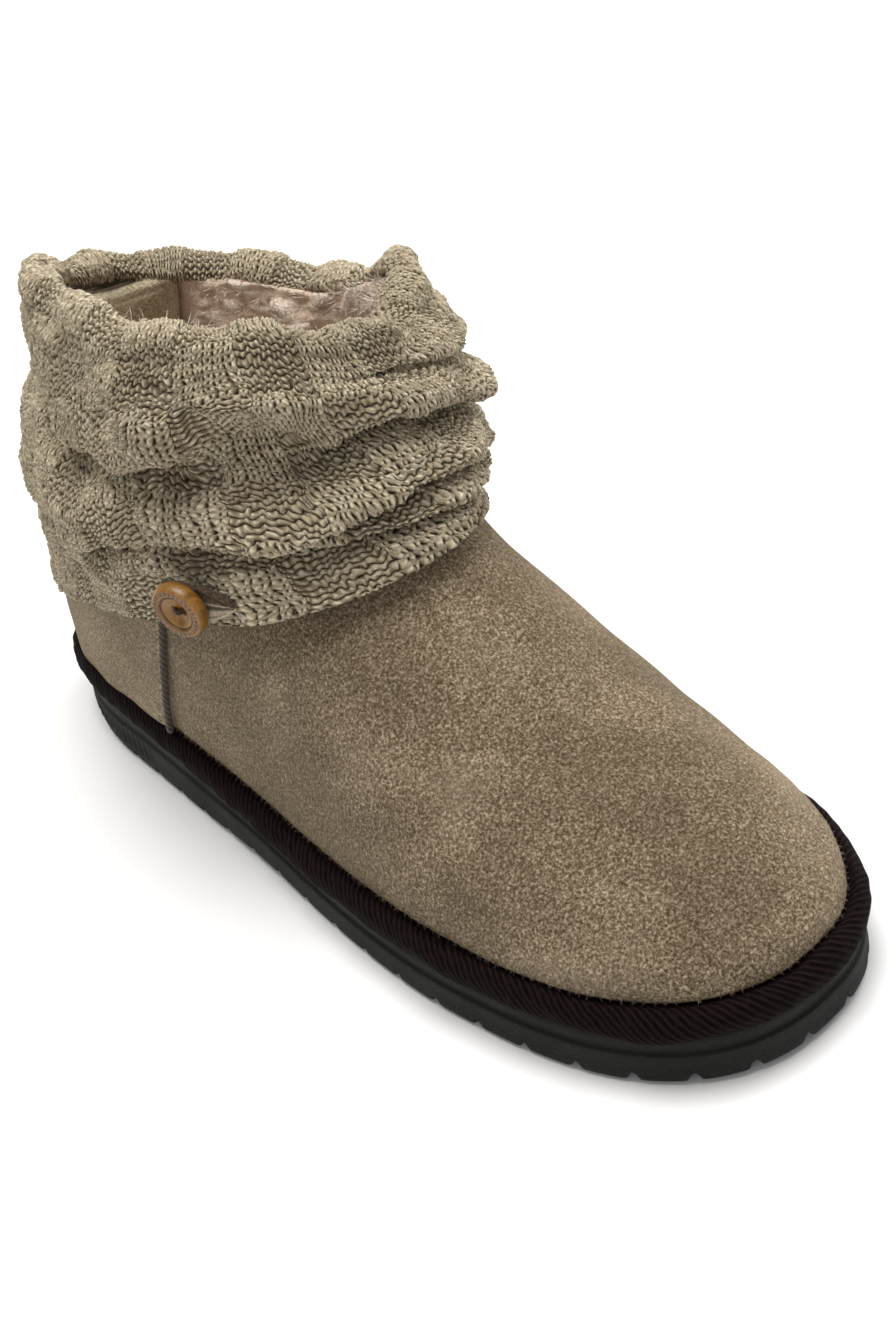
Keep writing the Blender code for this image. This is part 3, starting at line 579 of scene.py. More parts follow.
def skin(places, dense=120):
    """Meridians of the last from the feather edge to the rim, evenly spaced, one row per place."""
    places = np.asarray(places) % 1.0
    bx, by = sole_ring(places, FEATHER_INSET)
    foot = np.stack([bx, by, midsole_top(share_of(by)) + GAP], -1)
    for _ in range(4):
        start = unit(foot - ORIGIN)
        foot = ORIGIN + start * reach(start)[:, None]
        foot[:, 2] = midsole_top(share_of(foot[:, 1])) + GAP
    turn = track(FAN, 1, places)
    cx, cy, ax, ay = shaft_section(RIM_HEIGHT)
    tx, ty = cx - ax * np.sin(turn), cy + ay * np.cos(turn)
    rim = np.stack([tx, ty, RIM_HEIGHT + RIM_SLOPE_ACROSS * (tx - cx) + RIM_SLOPE_ALONG * (ty - cy)], -1)
    start, end = unit(foot - ORIGIN), unit(rim - ORIGIN)
    t = np.linspace(0, 1, 150)[None, :, None]
    directions = unit(start[:, None] * (1 - t) + end[:, None] * t)
    line = ORIGIN + directions * reach(directions)[..., None]
    return pick(line, spread(line, np.zeros(len(places)), np.ones(len(places)), dense))


def normals_of(grid, closed=True):
    """Unit cross products of the steps across the columns and up the rows."""
    across = np.roll(grid, -1, axis=0) - np.roll(grid, 1, axis=0) if closed else np.gradient(grid, axis=0)
    return unit(np.cross(across, np.gradient(grid, axis=1)))


def suede(name, shades, sheen):
    """Microsuede: a short dense pile of dark and pale fibre tips under soft clouds of turned nap."""
    material, tree, shader = finish(name, {
        "Specular IOR Level": 0.15, "Sheen Weight": 0.30, "Sheen Roughness": 0.6, "Sheen Tint": rgb(sheen),
    })
    dark, low, mid, pale = shades
    place = node(tree, "TexCoord").outputs["Object"]
    cloud = noise(tree, place, 0.036, 1.5, 0.5, Distortion=0.3)
    brushed = {"Vector": place, "Rotation": (0.5, 0.2, 0.7), "Scale": (1.0, 0.4, 1.0)}
    stroke = noise(tree, node(tree, "Mapping", brushed).outputs[0], 0.0075, 1.5, 0.5, Distortion=0.6)
    pile = noise(tree, place, 0.00070, 2.0, 0.6)
    tips = noise(tree, place, 0.00042, 2.0, 0.6)
    color = ramp(tree, pile, (0.30, dark), (0.44, low), (0.56, mid), (0.70, pale))
    color = tinted(tree, color, tips, pale, (0.54, 0.0), (0.68, 0.55))
    color = tinted(tree, color, tips, dark, (0.32, 0.60), (0.44, 0.0))
    color = tinted(tree, color, cloud, dark, (0.36, 0.30), (0.56, 0.0))
    color = tinted(tree, color, stroke, dark, (0.38, 0.17), (0.56, 0.0))
    color = tinted(tree, color, cloud, pale, (0.54, 0.0), (0.74, 0.18))
    height = maths(tree, "ADD", pile, maths(tree, "MULTIPLY", tips, 0.6))
    connect(tree, shader, color, ramp(tree, stroke, (0.35, 0.88), (0.7, 1.0)), height, 0.00040, 0.9)
    return material


taupe = suede("taupe_suede", ("#382C1B", "#61533E", "#7F6F5A", "#B6A68F"), "#B5A58E")
places = np.arange(260) / 260
line = skin(places)
total = lengths_along(line)[:, -1]
below = COLLAR_BELOW_RIM - np.minimum(lap(COLLAR_WAVE, 1, track(FAN, 1, places)), 0)
grid = pick(line, spread(line, np.zeros(260), 1 - below / total, 130))
normal = normals_of(grid)
run = lengths_along(grid)
share = share_of(grid[..., 1])
tuck = -0.0010 * np.exp(-run / 0.0016)
gathers = waves(np.stack([places * 120, places * 0], -1), 1.0, 21)[:, None]
pucker = 0.00016 * gathers * np.exp(-((run - 0.004) / 0.005) ** 2)
soft = 0.00055 * waves(grid, 0.055, 22) + 0.00022 * waves(grid, 0.018, 23)
toe = ease((share - 0.70) / 0.16)
fat = 0.0010 * toe * np.exp(-((run - 0.0055) / 0.0050) ** 2)
outer = grid + normal * (tuck * (1 - 0.7 * toe) + fat + pucker + soft * ease(run / 0.02))[..., None]
outer[..., 2] -= 0.0009 * toe * np.exp(-((run - 0.0022) / 0.0022) ** 2)
outer[:, 0, 2] = grid[:, 0, 2]
inner = (grid - normal * UPPER_WALL)[:, ::-10]
inner[:, -1, 2] = grid[:, 0, 2]
upper = surface("suede_upper", np.concatenate([outer, inner], 1), taupe, along=True)
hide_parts("upper")

chance = np.random.default_rng(24)
count = 3600
i, j = chance.integers(0, 260, count), chance.integers(1, 4, count)
ways = normal[i, j] + [0.0, 0.0, -0.9] + chance.normal(0, 0.45, (count, 3))
nap = spikes("suede_upper_nap", outer[i, j] - normal[i, j] * 0.0002, ways,
             chance.uniform(0.0006, 0.0015, count), 0.000065, chance.normal(0, 0.0002, (count, 3)), taupe)

# ---- Fleece lining
# Pink curly fleece glued to the inside of the shell, about 4 mm deep, in rounded tufts. It
# thins out behind the back facing.

LINING_TOP = 0.0046
FACING_HALF_TURN = radians(20)
FACING_DEPTH, FACING_DROP = 0.0355, -0.0022

places = np.arange(270) / 270
line = skin(places)
total = lengths_along(line)[:, -1]
below = LINING_TOP - 0.8 * np.minimum(lap(COLLAR_WAVE, 1, track(FAN, 1, places)), 0)
grid = pick(line, spread(line, np.zeros(270), 1 - below / total, 120))
normal = normals_of(grid)
turn = track(FAN, 1, places)
turn = np.minimum(turn, 2 * pi - turn) * 0.67
below = total[:, None] - lengths_along(grid)
behind = ease((FACING_HALF_TURN * 1.25 - turn) / 0.10)[:, None] * ease((0.0430 - below) / 0.004)
tuft = clumps(grid) * (1 - behind)
pile = (0.0010 + 0.0038 * tuft) * (1 - 0.9 * behind) * ease(lengths_along(grid) / 0.004)
depth = UPPER_WALL + 0.0006 + pile
face = grid - normal * depth[..., None]
backing = (grid - normal * (UPPER_WALL + 0.0002))[:, ::-10]
lining = np.concatenate([face, backing], 1)[::-1]
# The tuft heights go out as relief, so the fleece is painted darker in the valleys: painted shade; the hidden
# backing gets 0.
high = np.concatenate([tuft, tuft[:, ::-10] * 0], 1)[::-1]
lining = surface("fleece_lining", lining, fleece, along=True, relief=high)

chance = np.random.default_rng(25)
count = 6400
i, j = chance.integers(0, 270, count), 119 - (34 * chance.uniform(0, 1, count) ** 1.2).astype(int)
swirl = np.stack([waves(face[i, j], 0.009, seed) for seed in (61, 62, 63)], -1)
ways = -0.7 * normal[i, j] + [0.0, 0.0, 0.30] + 0.85 * swirl
curls = spikes("fleece_lining_curls", face[i, j] + normal[i, j] * 0.0004, ways,
               chance.uniform(0.0018, 0.0040, count), 0.00016, chance.normal(0, 0.0013, (count, 3)), fleece)

# ---- Heel counter
# A second layer of slightly lighter suede round the heel, 1.2 mm thick, from seam to seam and up
# under the cuff. Its cut front edges are pale on the slipper but get no colour of their own here.

COUNTER_THICKNESS = 0.0012
COUNTER_LIFT = 0.0007
HEM_HEIGHT, HEM_SLOPE = 0.0515, -0.27


def hem_share(line, above):
    """Share of each row where it crosses the hem line: the first sample over it, then in between."""
    level = line[..., 2] - (HEM_HEIGHT + above + HEM_SLOPE * line[..., 1])
    first = np.maximum(np.argmax(level > 0, axis=1), 1)
    i = np.arange(len(line))
    low, high = level[i, first - 1], level[i, first]
    return (first - 1 + low / (low - high)) / (line.shape[1] - 1)


heel_suede = suede("heel_suede", ("#4A3C27", "#74654E", "#91816A", "#BDAE96"), "#BDAE96")
places = np.linspace(-SEAM_SHARE, SEAM_SHARE, 120)
line = skin(places, 160)
grid = pick(line, spread(line, COUNTER_LIFT / lengths_along(line)[:, -1], hem_share(line, 0.0020), 32))
normal = normals_of(grid, closed=False)
normal[..., 2] = np.maximum(normal[..., 2], 0)
normal = unit(normal)
edge = np.minimum(np.arange(120), np.arange(120)[::-1])[:, None] / 3.0
thick = GAP / 2 + COUNTER_THICKNESS * np.clip(edge, 0, 1) ** 0.5 * np.ones((1, 32))
thick = thick + 0.00020 * waves(grid, 0.020, 31) * np.clip(edge / 4, 0, 1)
front = grid + normal * thick[..., None]
rear = (grid + normal * GAP / 2)[:, ::-1]
layer = np.concatenate([front, rear], 1)
counter = surface("suede_heel_counter", layer, heel_suede, around=False, along=True, poles=True)
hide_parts("heel_counter")

# ---- Pipings
# A narrow dark brown welt down each side seam, sewn in along the front edge of the heel counter.

PIPING_RADIUS = 0.0010

welt, tree, shader = finish("brown_welt", {"Specular IOR Level": 0.3, "Sheen Weight": 0.2})
place = node(tree, "TexCoord").outputs["Object"]
twist = node(tree, "UVMap", uv_map="UVMap").outputs["UV"]
cord = node(tree, "TexWave", {"Vector": twist, "Scale": 0.32, "Distortion": 0.5},
            bands_direction="DIAGONAL").outputs["Fac"]
fuzz = noise(tree, place, 0.0006, 3.0)
color = mixed(tree, fuzz, rgb("#2A2018"), rgb("#5A4B3A"))
color = tinted(tree, color, cord, "#1B120D", (0.2, 0.35), (0.6, 0.0))
height = maths(tree, "ADD", cord, maths(tree, "MULTIPLY", fuzz, 0.5))
connect(tree, shader, color, ramp(tree, fuzz, (0.3, 0.75), (0.7, 0.95)), height, 0.0002, 0.8)


def tube(path, radius, count, side):
    """Points on circles round a path. side is a direction that is never along the path."""
    ahead = unit(np.gradient(path, axis=0))
    first = unit(side - ahead * (side * ahead).sum(-1, keepdims=True))
    second = np.cross(ahead, first)
    turn = 2 * pi * np.arange(count) / count
    ring = first[None] * np.cos(turn)[:, None, None] + second[None] * np.sin(turn)[:, None, None]
    return path[None] + ring * np.broadcast_to(radius, (len(path),))[None, :, None]


for name, side in (("piping_lateral", 1), ("piping_medial", -1)):
    places = side * (SEAM_SHARE + np.array([-0.003, 0.0, 0.003]))
    line = skin(places, 160)
    seam = pick(line, spread(line, COUNTER_LIFT / lengths_along(line)[:, -1], hem_share(line, -0.0012), 90))
    normal = normals_of(seam[::side], closed=False)[1]
    ahead = unit(seam[2] - seam[1])
    path = seam[1] + normal * (GAP * 2 + PIPING_RADIUS) + ahead * (GAP + PIPING_RADIUS * 1.15)
    path[0] = path[0] + (path[1] - path[0]) * 0.5
    taper = np.clip(np.minimum(np.arange(90), np.arange(90)[::-1]) / 3.0 + 0.15, 0, 1) ** 0.5
    uv = np.stack(np.meshgrid(np.linspace(0, 6.3, 15), np.linspace(0, 41, 90), indexing="ij"), -1)
    piping = surface("welt_" + name, tube(path, PIPING_RADIUS * taper, 14, normal), welt, caps=True, uv=uv)
    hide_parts(name)

# ---- Knit cuff
# A long tube of marled oatmeal yarn, knitted in a basket of 6 by 8 stitch blocks, plain and purl
# in turn. It is pushed down round the ankle, so it lies in hanging rolls between deep creases,
# and its top edge is turned over the collar.

CUFF_WALL, CUFF_CLEAR = 0.0032, 0.0023
CUFF_BULGE = 0.0092
CUFF_FULLNESS = (0.84, 0.86, 1.22, 1.20)
STITCHES, COURSES = 144, 56
STITCH_GRID, COURSE_GRID = 6, 5
BLOCK_STITCHES, BLOCK_COURSES = 6, 8
YARN_RELIEF, PURL_RELIEF, BLOCK_PUFF = 0.00130, 0.00105, 0.00060
LEAN = 0.26
ROLL_START = 0.925

# How far the slack hangs down. Columns: share of the cuff's height, share of the stand-off.
SAG = [(0.00, 0.20), (0.12, 0.45), (0.32, 0.50), (0.48, 0.50), (0.62, 0.30), (0.80, 0.15), (1.00, 0.05)]

# The creases of the slouch, listed one by one. Each has a depth, a half width as a share of the
# height, and points: turn in degrees from the back over the outer side, share of the cuff's
# height, strength.
FOLDS = [
    (0.0122, 0.046, [
        (0, 0.72, 0.7), (40, 0.79, 0.8), (60, 0.78, 0.8), (72, 0.745, 0.9), (82, 0.69, 1.0),
        (92, 0.645, 1.0), (104, 0.60, 0.9), (118, 0.56, 0.65), (128, 0.53, 0.65), (136, 0.49, 0.9),
        (144, 0.47, 1.1), (152, 0.475, 1.1), (160, 0.51, 1.0), (166, 0.565, 1.0), (171, 0.60, 1.0),
        (178, 0.595, 1.0), (185, 0.575, 1.0), (192, 0.55, 1.0), (200, 0.50, 1.0), (208, 0.45, 1.0),
        (220, 0.43, 1.0), (240, 0.47, 0.9), (270, 0.48, 0.9), (315, 0.60, 0.8),
    ]),
    (0.0100, 0.036, [
        (0, 0.28, 0.9), (45, 0.31, 0.9), (88, 0.31, 0.9), (116, 0.31, 0.9), (128, 0.30, 0.9),
        (136, 0.27, 0.9), (143, 0.23, 1.0), (152, 0.215, 1.0), (165, 0.205, 0.9), (174, 0.20, 0.9),
        (182, 0.185, 0.9), (190, 0.16, 1.0), (198, 0.13, 1.0), (225, 0.15, 0.9), (270, 0.20, 0.9),
        (315, 0.25, 0.9),
    ]),
    (0.0092, 0.032, [
        (148, 0.23, 0.0), (154, 0.275, 0.8), (160, 0.32, 1.0), (166, 0.355, 1.0), (172, 0.375, 1.0),
        (179, 0.37, 1.0), (186, 0.345, 1.0), (193, 0.31, 1.0), (205, 0.29, 1.0), (235, 0.31, 0.9),
        (270, 0.33, 0.5), (300, 0.36, 0.0),
    ]),
    (0.0046, 0.040, [
        (158, 0.84, 0.0), (170, 0.83, 0.7), (182, 0.80, 0.9), (195, 0.72, 1.1), (207, 0.64, 1.4),
        (222, 0.62, 1.3), (240, 0.65, 0.9), (275, 0.68, 0.7), (310, 0.72, 0.3), (345, 0.74, 0.0),
    ]),
    (0.0088, 0.100, [
        (122, 0.50, 0.0), (134, 0.57, 1.0), (150, 0.58, 1.0), (160, 0.61, 0.8), (168, 0.66, 0.0),
    ]),
    (0.0026, 0.035, [
        (60, 0.50, 0.0), (78, 0.50, 1.0), (96, 0.455, 0.9), (112, 0.44, 0.0),
    ]),
]
# Pinched ridge that runs down from the rim at the outer side, between two valleys.
# Columns: share of the height, turn in degrees, strength.
TUCK = [
    (0.48, 133.0, 0.0), (0.60, 131.5, 0.3), (0.70, 128.0, 0.6), (0.78, 121.5, 0.9), (0.88, 115.5, 1.0),
    (1.0, 112.0, 0.7),
]
# The ridge and the valleys. Columns: metres out, degrees beside its line, half turn, upper end.
TUCK_LINES = [(0.0030, 0.0, 4.4, 2.0), (-0.0010, -12.0, 7.0, 2.0), (-0.0030, 8.5, 4.2, 0.92)]
# Soft swells and dents. Columns: turn, share of the height, metres out, half turn, half height.
SWELLS = [
    (66, 0.10, -0.0090, 30, 0.20), (52, 0.86, -0.0052, 26, 0.14), (222, 0.92, -0.0085, 22, 0.12),
    (226, 0.635, -0.0080, 24, 0.045), (226, 0.75, -0.0040, 24, 0.06), (56, 0.76, -0.0030, 18, 0.05),
    (212, 0.58, 0.0006, 14, 0.06), (205, 0.41, -0.0020, 18, 0.05), (198, 0.06, -0.0020, 20, 0.08),
    (60, 0.52, -0.0046, 24, 0.16), (200, 0.24, 0.0010, 20, 0.06), (95, 0.52, 0.0016, 22, 0.07),
    (150, 0.78, 0.0024, 20, 0.07), (185, 0.66, 0.0012, 14, 0.05), (150, 0.34, 0.0030, 18, 0.05),
    (178, 0.47, 0.0010, 16, 0.06),
]
TAB_TURN = radians(136)
TAB_PINCH_TURN, TAB_PINCH_HEIGHT = radians(26), 0.34


def around(values, turn):
    """Mean, two cosines and a sine of the turn through back, outer side, front and inner side."""
    back, outer, front, inner = values
    mean = (back + outer + front + inner) / 4
    swing = (back - outer + front - inner) / 4 * np.cos(2 * turn)
    return mean + (back - front) / 2 * np.cos(turn) + (outer - inner) / 2 * np.sin(turn) + swing


def place_of_turn(turn):
    """Share round the sole of the meridian that ends at a turn of the collar."""
    fine = np.linspace(0, 1, 2001)
    return np.interp(turn, track(FAN, 1, fine), fine)


def stand_out(height, turn, places):
    """Distance of the cuff off the shaft: a slack sine bulge less its creases, each 1 / (1 + d^2)^1.5."""
    h, t = height[None, :], np.degrees(turn)[:, None]
    fullness = CUFF_BULGE * around(CUFF_FULLNESS, turn)[:, None]
    slack = CUFF_CLEAR + CUFF_WALL + fullness * np.sin(pi * np.clip(h, 0, 1)) ** 1.1
    uneven = 0.0012 * waves(places, 0.034, 41) + 0.0004 * waves(places, 0.013, 43)
    slack = slack + uneven * np.sin(pi * h) ** 0.6
    for middle, level, amount, wide, tall in SWELLS:
        slack = slack + amount * np.exp(-((t - middle) / wide) ** 2 - ((h - level) / tall) ** 2)
    for depth, half, points in FOLDS:
        line, strength = lap(points, 1, turn)[:, None], lap(points, 2, turn)[:, None]
        line = line + 0.007 * waves(places[:, :1], 0.030, 42)
        slack = slack - depth * strength / (1 + ((h - line) / half) ** 2) ** 1.5
    tuck = np.array(TUCK)
    middle = np.interp(h, tuck[:, 0], tuck[:, 1])
    strength = np.interp(h, tuck[:, 0], tuck[:, 2])
    for amount, beside, wide, end in TUCK_LINES:
        slack = slack + strength * amount * np.exp(-((t - middle - beside) / wide) ** 2) * ease((end - h) / 0.10)
    pinch = np.exp(-((turn[:, None] - TAB_TURN) / TAB_PINCH_TURN) ** 2 - (h / TAB_PINCH_HEIGHT) ** 2)
    slack = slack * (1 - pinch) + (CUFF_CLEAR + CUFF_WALL * 0.8) * pinch
    return np.maximum(slack, CUFF_CLEAR + 0.0010)


# A plain stitch: two legs side by side that open upward and reach into the next course. Where a
# leg starts, how far it spreads, its half width in stitches, its length and lap in courses.
LEG_START, LEG_SPREAD, LEG_HALF, LEG_LENGTH, LEG_LAP = 0.090, 0.270, 0.205, 1.60, 0.28
# The back of a stitch: one waving strand in each course. Its wave and half width in courses.
PURL_WAVE, PURL_HALF = 0.22, 0.45


def plain_stitch(u, v):
    """Height of the higher of two laps of a leg: round across, root of a sine along."""
    rise, side = (v + LEG_LAP) % 1.0, np.abs(u % 1.0 - 0.5)
    legs = []
    for s in (rise / LEG_LENGTH, np.minimum((rise + 1) / LEG_LENGTH, 1)):
        off = (side - LEG_START - LEG_SPREAD * s) / LEG_HALF
        legs.append(np.sqrt(np.maximum(1 - off ** 2, 0) * np.sin(pi * s)))
    return np.maximum(*legs)


def purl_stitch(u, v):
    """Height of a strand that waves once a stitch and dips twice, round across."""
    off = ((v - PURL_WAVE * np.cos(2 * pi * u)) % 1.0 - 0.5) / PURL_HALF
    return np.sqrt(np.maximum(1 - off ** 2, 0)) * (0.68 + 0.32 * np.cos(4 * pi * u))


def stitches_in(tree, weave):
    """The same two stitches and their checker in nodes: height, place across and along the strand."""
    def calc(operation, *values):
        """Math node of this tree."""
        return maths(tree, operation, *values)

    def dome(off):
        """1 less the square of off, and not below 0."""
        return calc("MAXIMUM", calc("MULTIPLY_ADD", calc("MULTIPLY", off, off), -1.0, 1.0), 0.0)

    parts = node(tree, "SeparateXYZ", {0: weave}).outputs
    u, v = parts[0], parts[1]
    rise = calc("FRACT", calc("ADD", v, LEG_LAP))
    side = calc("SUBTRACT", 0.5, calc("PINGPONG", u, 0.5))
    legs = []
    for start in (0.0, 1.0):
        s = calc("MINIMUM", calc("MULTIPLY_ADD", rise, 1 / LEG_LENGTH, start / LEG_LENGTH), 1.0)
        middle = calc("MULTIPLY_ADD", s, LEG_SPREAD, LEG_START)
        off = calc("DIVIDE", calc("SUBTRACT", side, middle), LEG_HALF)
        along = calc("MAXIMUM", calc("SINE", calc("MULTIPLY", s, pi)), 0.0)
        legs.append((calc("SQRT", calc("MULTIPLY", dome(off), along)), off, s))
    upper_leg = calc("GREATER_THAN", legs[1][0], legs[0][0])
    wave = calc("COSINE", calc("MULTIPLY", u, 2 * pi))
    shifted = calc("FRACT", calc("MULTIPLY_ADD", wave, -PURL_WAVE, v))
    off = calc("DIVIDE", calc("SUBTRACT", shifted, 0.5), PURL_HALF)
    dip = calc("MULTIPLY_ADD", calc("COSINE", calc("MULTIPLY", u, 4 * pi)), 0.26, 0.76)
    purl = (calc("MULTIPLY", calc("SQRT", dome(off)), dip), off, calc("MULTIPLY", u, 0.8))
    column, row = calc("DIVIDE", u, BLOCK_STITCHES), calc("DIVIDE", v, BLOCK_COURSES)
    is_purl = calc("PINGPONG", calc("ADD", calc("FLOOR", column), calc("FLOOR", row)), 1.0)
    found = []
    for low, high, back in zip(*legs, purl):
        leg = node(tree, "Mix", {0: upper_leg, 2: low, 3: high}).outputs[0]
        found.append(node(tree, "Mix", {0: is_purl, 2: leg, 3: back}).outputs[0])
    return found


yarn, tree, shader = finish("oatmeal_yarn", {
    "Specular IOR Level": 0.2, "Sheen Weight": 0.30, "Sheen Roughness": 0.5, "Sheen Tint": rgb("#D8CDB4"),
})
place = node(tree, "TexCoord").outputs["Object"]
weave = node(tree, "UVMap", uv_map="UVMap").outputs["UV"]
raised, across, along = stitches_in(tree, weave)
ply = maths(tree, "SINE", maths(tree, "MULTIPLY_ADD", along, 15.0, maths(tree, "MULTIPLY", across, 2.4)))
marl = noise(tree, place, 0.0030, 2.0, 0.6)
tone = noise(tree, place, 0.030, 2.0)
fibre = noise(tree, place, 0.0005, 3.0, 0.7)
# Painted shade: the yarn is darker where the stitch height falls away between legs and strands, and palest on
# their tops.
color = ramp(tree, raised, (0.0, "#2A2115"), (0.36, "#5E4F3A"), (0.66, "#AD9E83"), (1.0, "#DACDB2"))
color = tinted(tree, color, marl, "#EADFC8", (0.50, 0.0), (0.66, 0.40))
color = tinted(tree, color, marl, "#8A7B62", (0.32, 0.45), (0.46, 0.0))
color = tinted(tree, color, ply, "#695A43", (0.0, 0.42), (0.55, 0.0))
color = tinted(tree, color, fibre, "#F3EAD6", (0.55, 0.0), (0.72, 0.45))
color = tinted(tree, color, tone, "#6E6453", (0.35, 0.18), (0.6, 0.0))
# More painted shade in the deepest gaps between the stitches.
color = tinted(tree, color, raised, "#2A2014", (0.0, 0.85), (0.26, 0.0))
height = maths(tree, "MULTIPLY_ADD", ply, 0.16, maths(tree, "MULTIPLY_ADD", fibre, 0.30, raised))
connect(tree, shader, color, ramp(tree, fibre, (0.3, 0.88), (0.7, 1.0)), height, 0.00075, 0.9)

COLUMNS, SAMPLES = 336, 420
turn = 2 * pi * np.arange(COLUMNS) / COLUMNS
line = skin(place_of_turn(turn), 200)
base = pick(line, spread(line, hem_share(line, 0.0), np.ones(COLUMNS), SAMPLES))
normal = normals_of(base)
normal[..., 2] *= 0.35
normal = unit(normal)
height = np.linspace(0, 1, SAMPLES)
off = stand_out(height, turn, base)
slack = off - (CUFF_CLEAR + 0.0010)
folded = base + normal * off[..., None]
folded[..., 2] -= track(SAG, 1, height) * slack
rim_wave = lap(COLLAR_WAVE, 1, turn)
folded[..., 2] += rim_wave[:, None] * ease((height - 0.70) / 0.25)
keep = height < ROLL_START
# The turned edge. Columns: share of the cuff's height, distance off the shaft, lift.
RIM_PATH = [
    (0.950, 0.0058, 0.0000), (0.970, 0.0056, 0.0000), (0.986, 0.0050, 0.0003), (0.996, 0.0039, 0.0008),
    (1.000, 0.0024, 0.0012), (1.000, 0.0006, 0.0014), (1.000, -0.0014, 0.0012), (0.998, -0.0034, 0.0006),
    (0.992, -0.0046, 0.0000), (0.984, -0.0054, 0.0000), (0.974, -0.0058, 0.0000), (0.964, -0.0058, 0.0000),
    (0.954, -0.0055, 0.0000), (0.946, -0.0048, 0.0000),
]
# How far the turned edge is drawn in. Columns: turn in degrees, metres.
RIM_TIGHT = [
    (0, 0.0), (30, 0.0014), (55, 0.0034), (80, 0.0022), (105, 0.0), (150, -0.0008), (190, 0.0004),
    (212, 0.0028), (235, 0.0030), (260, 0.0010), (300, 0.0),
]
scallop = 0.0007 * np.cos(turn * STITCHES / BLOCK_STITCHES / 2) + 0.0009 * waves(base[:, -1], 0.028, 44)


def at(share, distance, lift=0.0):
    """Ring of points at a share of the cuff's height and a distance off the shaft."""
    cell = np.full((COLUMNS, 1), share * (SAMPLES - 1))
    ring = pick(base, cell) + unit(pick(normal, cell)) * distance
    ring[:, 0, 2] += lift
    return ring


rolled = []
for share, distance, lift in RIM_PATH:
    tight = lap(RIM_TIGHT, 1, turn)[:, None, None] * ease((distance + 0.003) / 0.006)
    bumps = 0.0008 * waves(base[:, -1:], 0.022, 45)[..., None] * (distance > -0.005)
    ring = at(share, distance - tight + bumps, lift)
    ring[:, 0, 2] += scallop * ease((share - 0.90) / 0.08) + rim_wave
    rolled.append(ring)
profile = np.concatenate([folded[:, keep], *rolled], 1)
anchor = np.concatenate([base[:, keep], *[at(share, 0.0) for share, _, _ in RIM_PATH]], 1)
cell = spread(profile, np.zeros(COLUMNS), np.ones(COLUMNS), COURSES * COURSE_GRID + 1)
cloth, foot = pick(profile, cell), pick(anchor, cell)

# The cloth is read finer round the cuff, then the stitches stand out of it.
FINE = STITCHES * STITCH_GRID


def finer(grid):
    """Columns read between the coarse ones, closed round."""
    cell = np.arange(FINE) * COLUMNS / FINE
    low = cell.astype(int)
    u = (cell - low)[:, None, None]
    return grid[low] * (1 - u) + grid[(low + 1) % COLUMNS] * u


cloth, foot = finer(cloth), finer(foot)
out = normals_of(cloth)
u = np.arange(FINE)[:, None] / STITCH_GRID + np.zeros((1, cloth.shape[1]))
v = np.arange(cloth.shape[1])[None, :] / COURSE_GRID + np.zeros((FINE, 1))
lean = LEAN * (0.5 + 0.5 * np.cos(2 * pi * u / STITCHES - radians(185)))
u = u + lean * (v - COURSES * 0.55)
chance = np.random.default_rng(46)
cells = chance.uniform(-1, 1, (STITCHES, COURSES + 2))
u = u + 0.20 * waves(cloth, 0.010, 47) + 0.10 * waves(cloth, 0.0036, 49)
v = v + 0.34 * waves(cloth, 0.014, 48) + 0.16 * waves(cloth, 0.0040, 50)
stitch, course = np.floor(u).astype(int) % STITCHES, np.clip(np.floor(v).astype(int), 0, COURSES)
checker = np.sin(pi * u / BLOCK_STITCHES) * np.sin(pi * v / BLOCK_COURSES)
is_plain = (np.floor(u / BLOCK_STITCHES) + np.floor(v / BLOCK_COURSES)) % 2 == 0
high = np.where(is_plain, plain_stitch(u, v), purl_stitch(u, v)) * (1 + 0.28 * cells[stitch, course])
puff = BLOCK_PUFF * np.tanh(2.0 * checker)
stand = np.where(is_plain, YARN_RELIEF, PURL_RELIEF) * (high - 0.6) + puff
knit = cloth + out * stand[..., None]
weave = np.stack([u, v], -1)
weave = np.concatenate([weave, weave[:1] + [STITCHES, 0]], 0)

BANDS = ("hem", "roll", "top", "rim")
RIM_ROWS = 75
rim_start = COURSES * COURSE_GRID - RIM_ROWS
starts = [0, rim_start // 3, 2 * rim_start // 3, rim_start, COURSES * COURSE_GRID]
back = foot + finer(pick(normal, np.full((COLUMNS, 1), 200.0))) * CUFF_CLEAR * 0.5
collar = 1 - COLLAR_BELOW_RIM / lengths_along(base)[:, -1].mean()
inside = -UPPER_WALL - 0.0006
for name, low, top in zip(BANDS, starts[:-1], starts[1:]):
    face = knit[:, low:top + 1]
    if name == "rim":
        corners = ((0.946, inside), (collar + 0.012, inside), (collar + 0.012, 0.0006))
        wall = [finer(at(share, distance)) for share, distance in corners]
        for ring in wall:
            ring[:, 0, 2] += np.minimum(finer(rim_wave[:, None, None])[:, 0, 0], 0)
        wall.append(back[:, low:low + 1])
    else:
        wall = [back[:, j:j + 1] for j in np.linspace(top, low, 8).astype(int)]
    tube_grid = np.concatenate([face, *wall], 1)
    uv = np.concatenate([weave[:, low:top + 1], np.zeros((FINE + 1, len(wall) + 1, 2))], 1)
    band = surface("knit_cuff_" + name, tube_grid, yarn, along=True, uv=uv)
    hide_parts("knit_cuff")

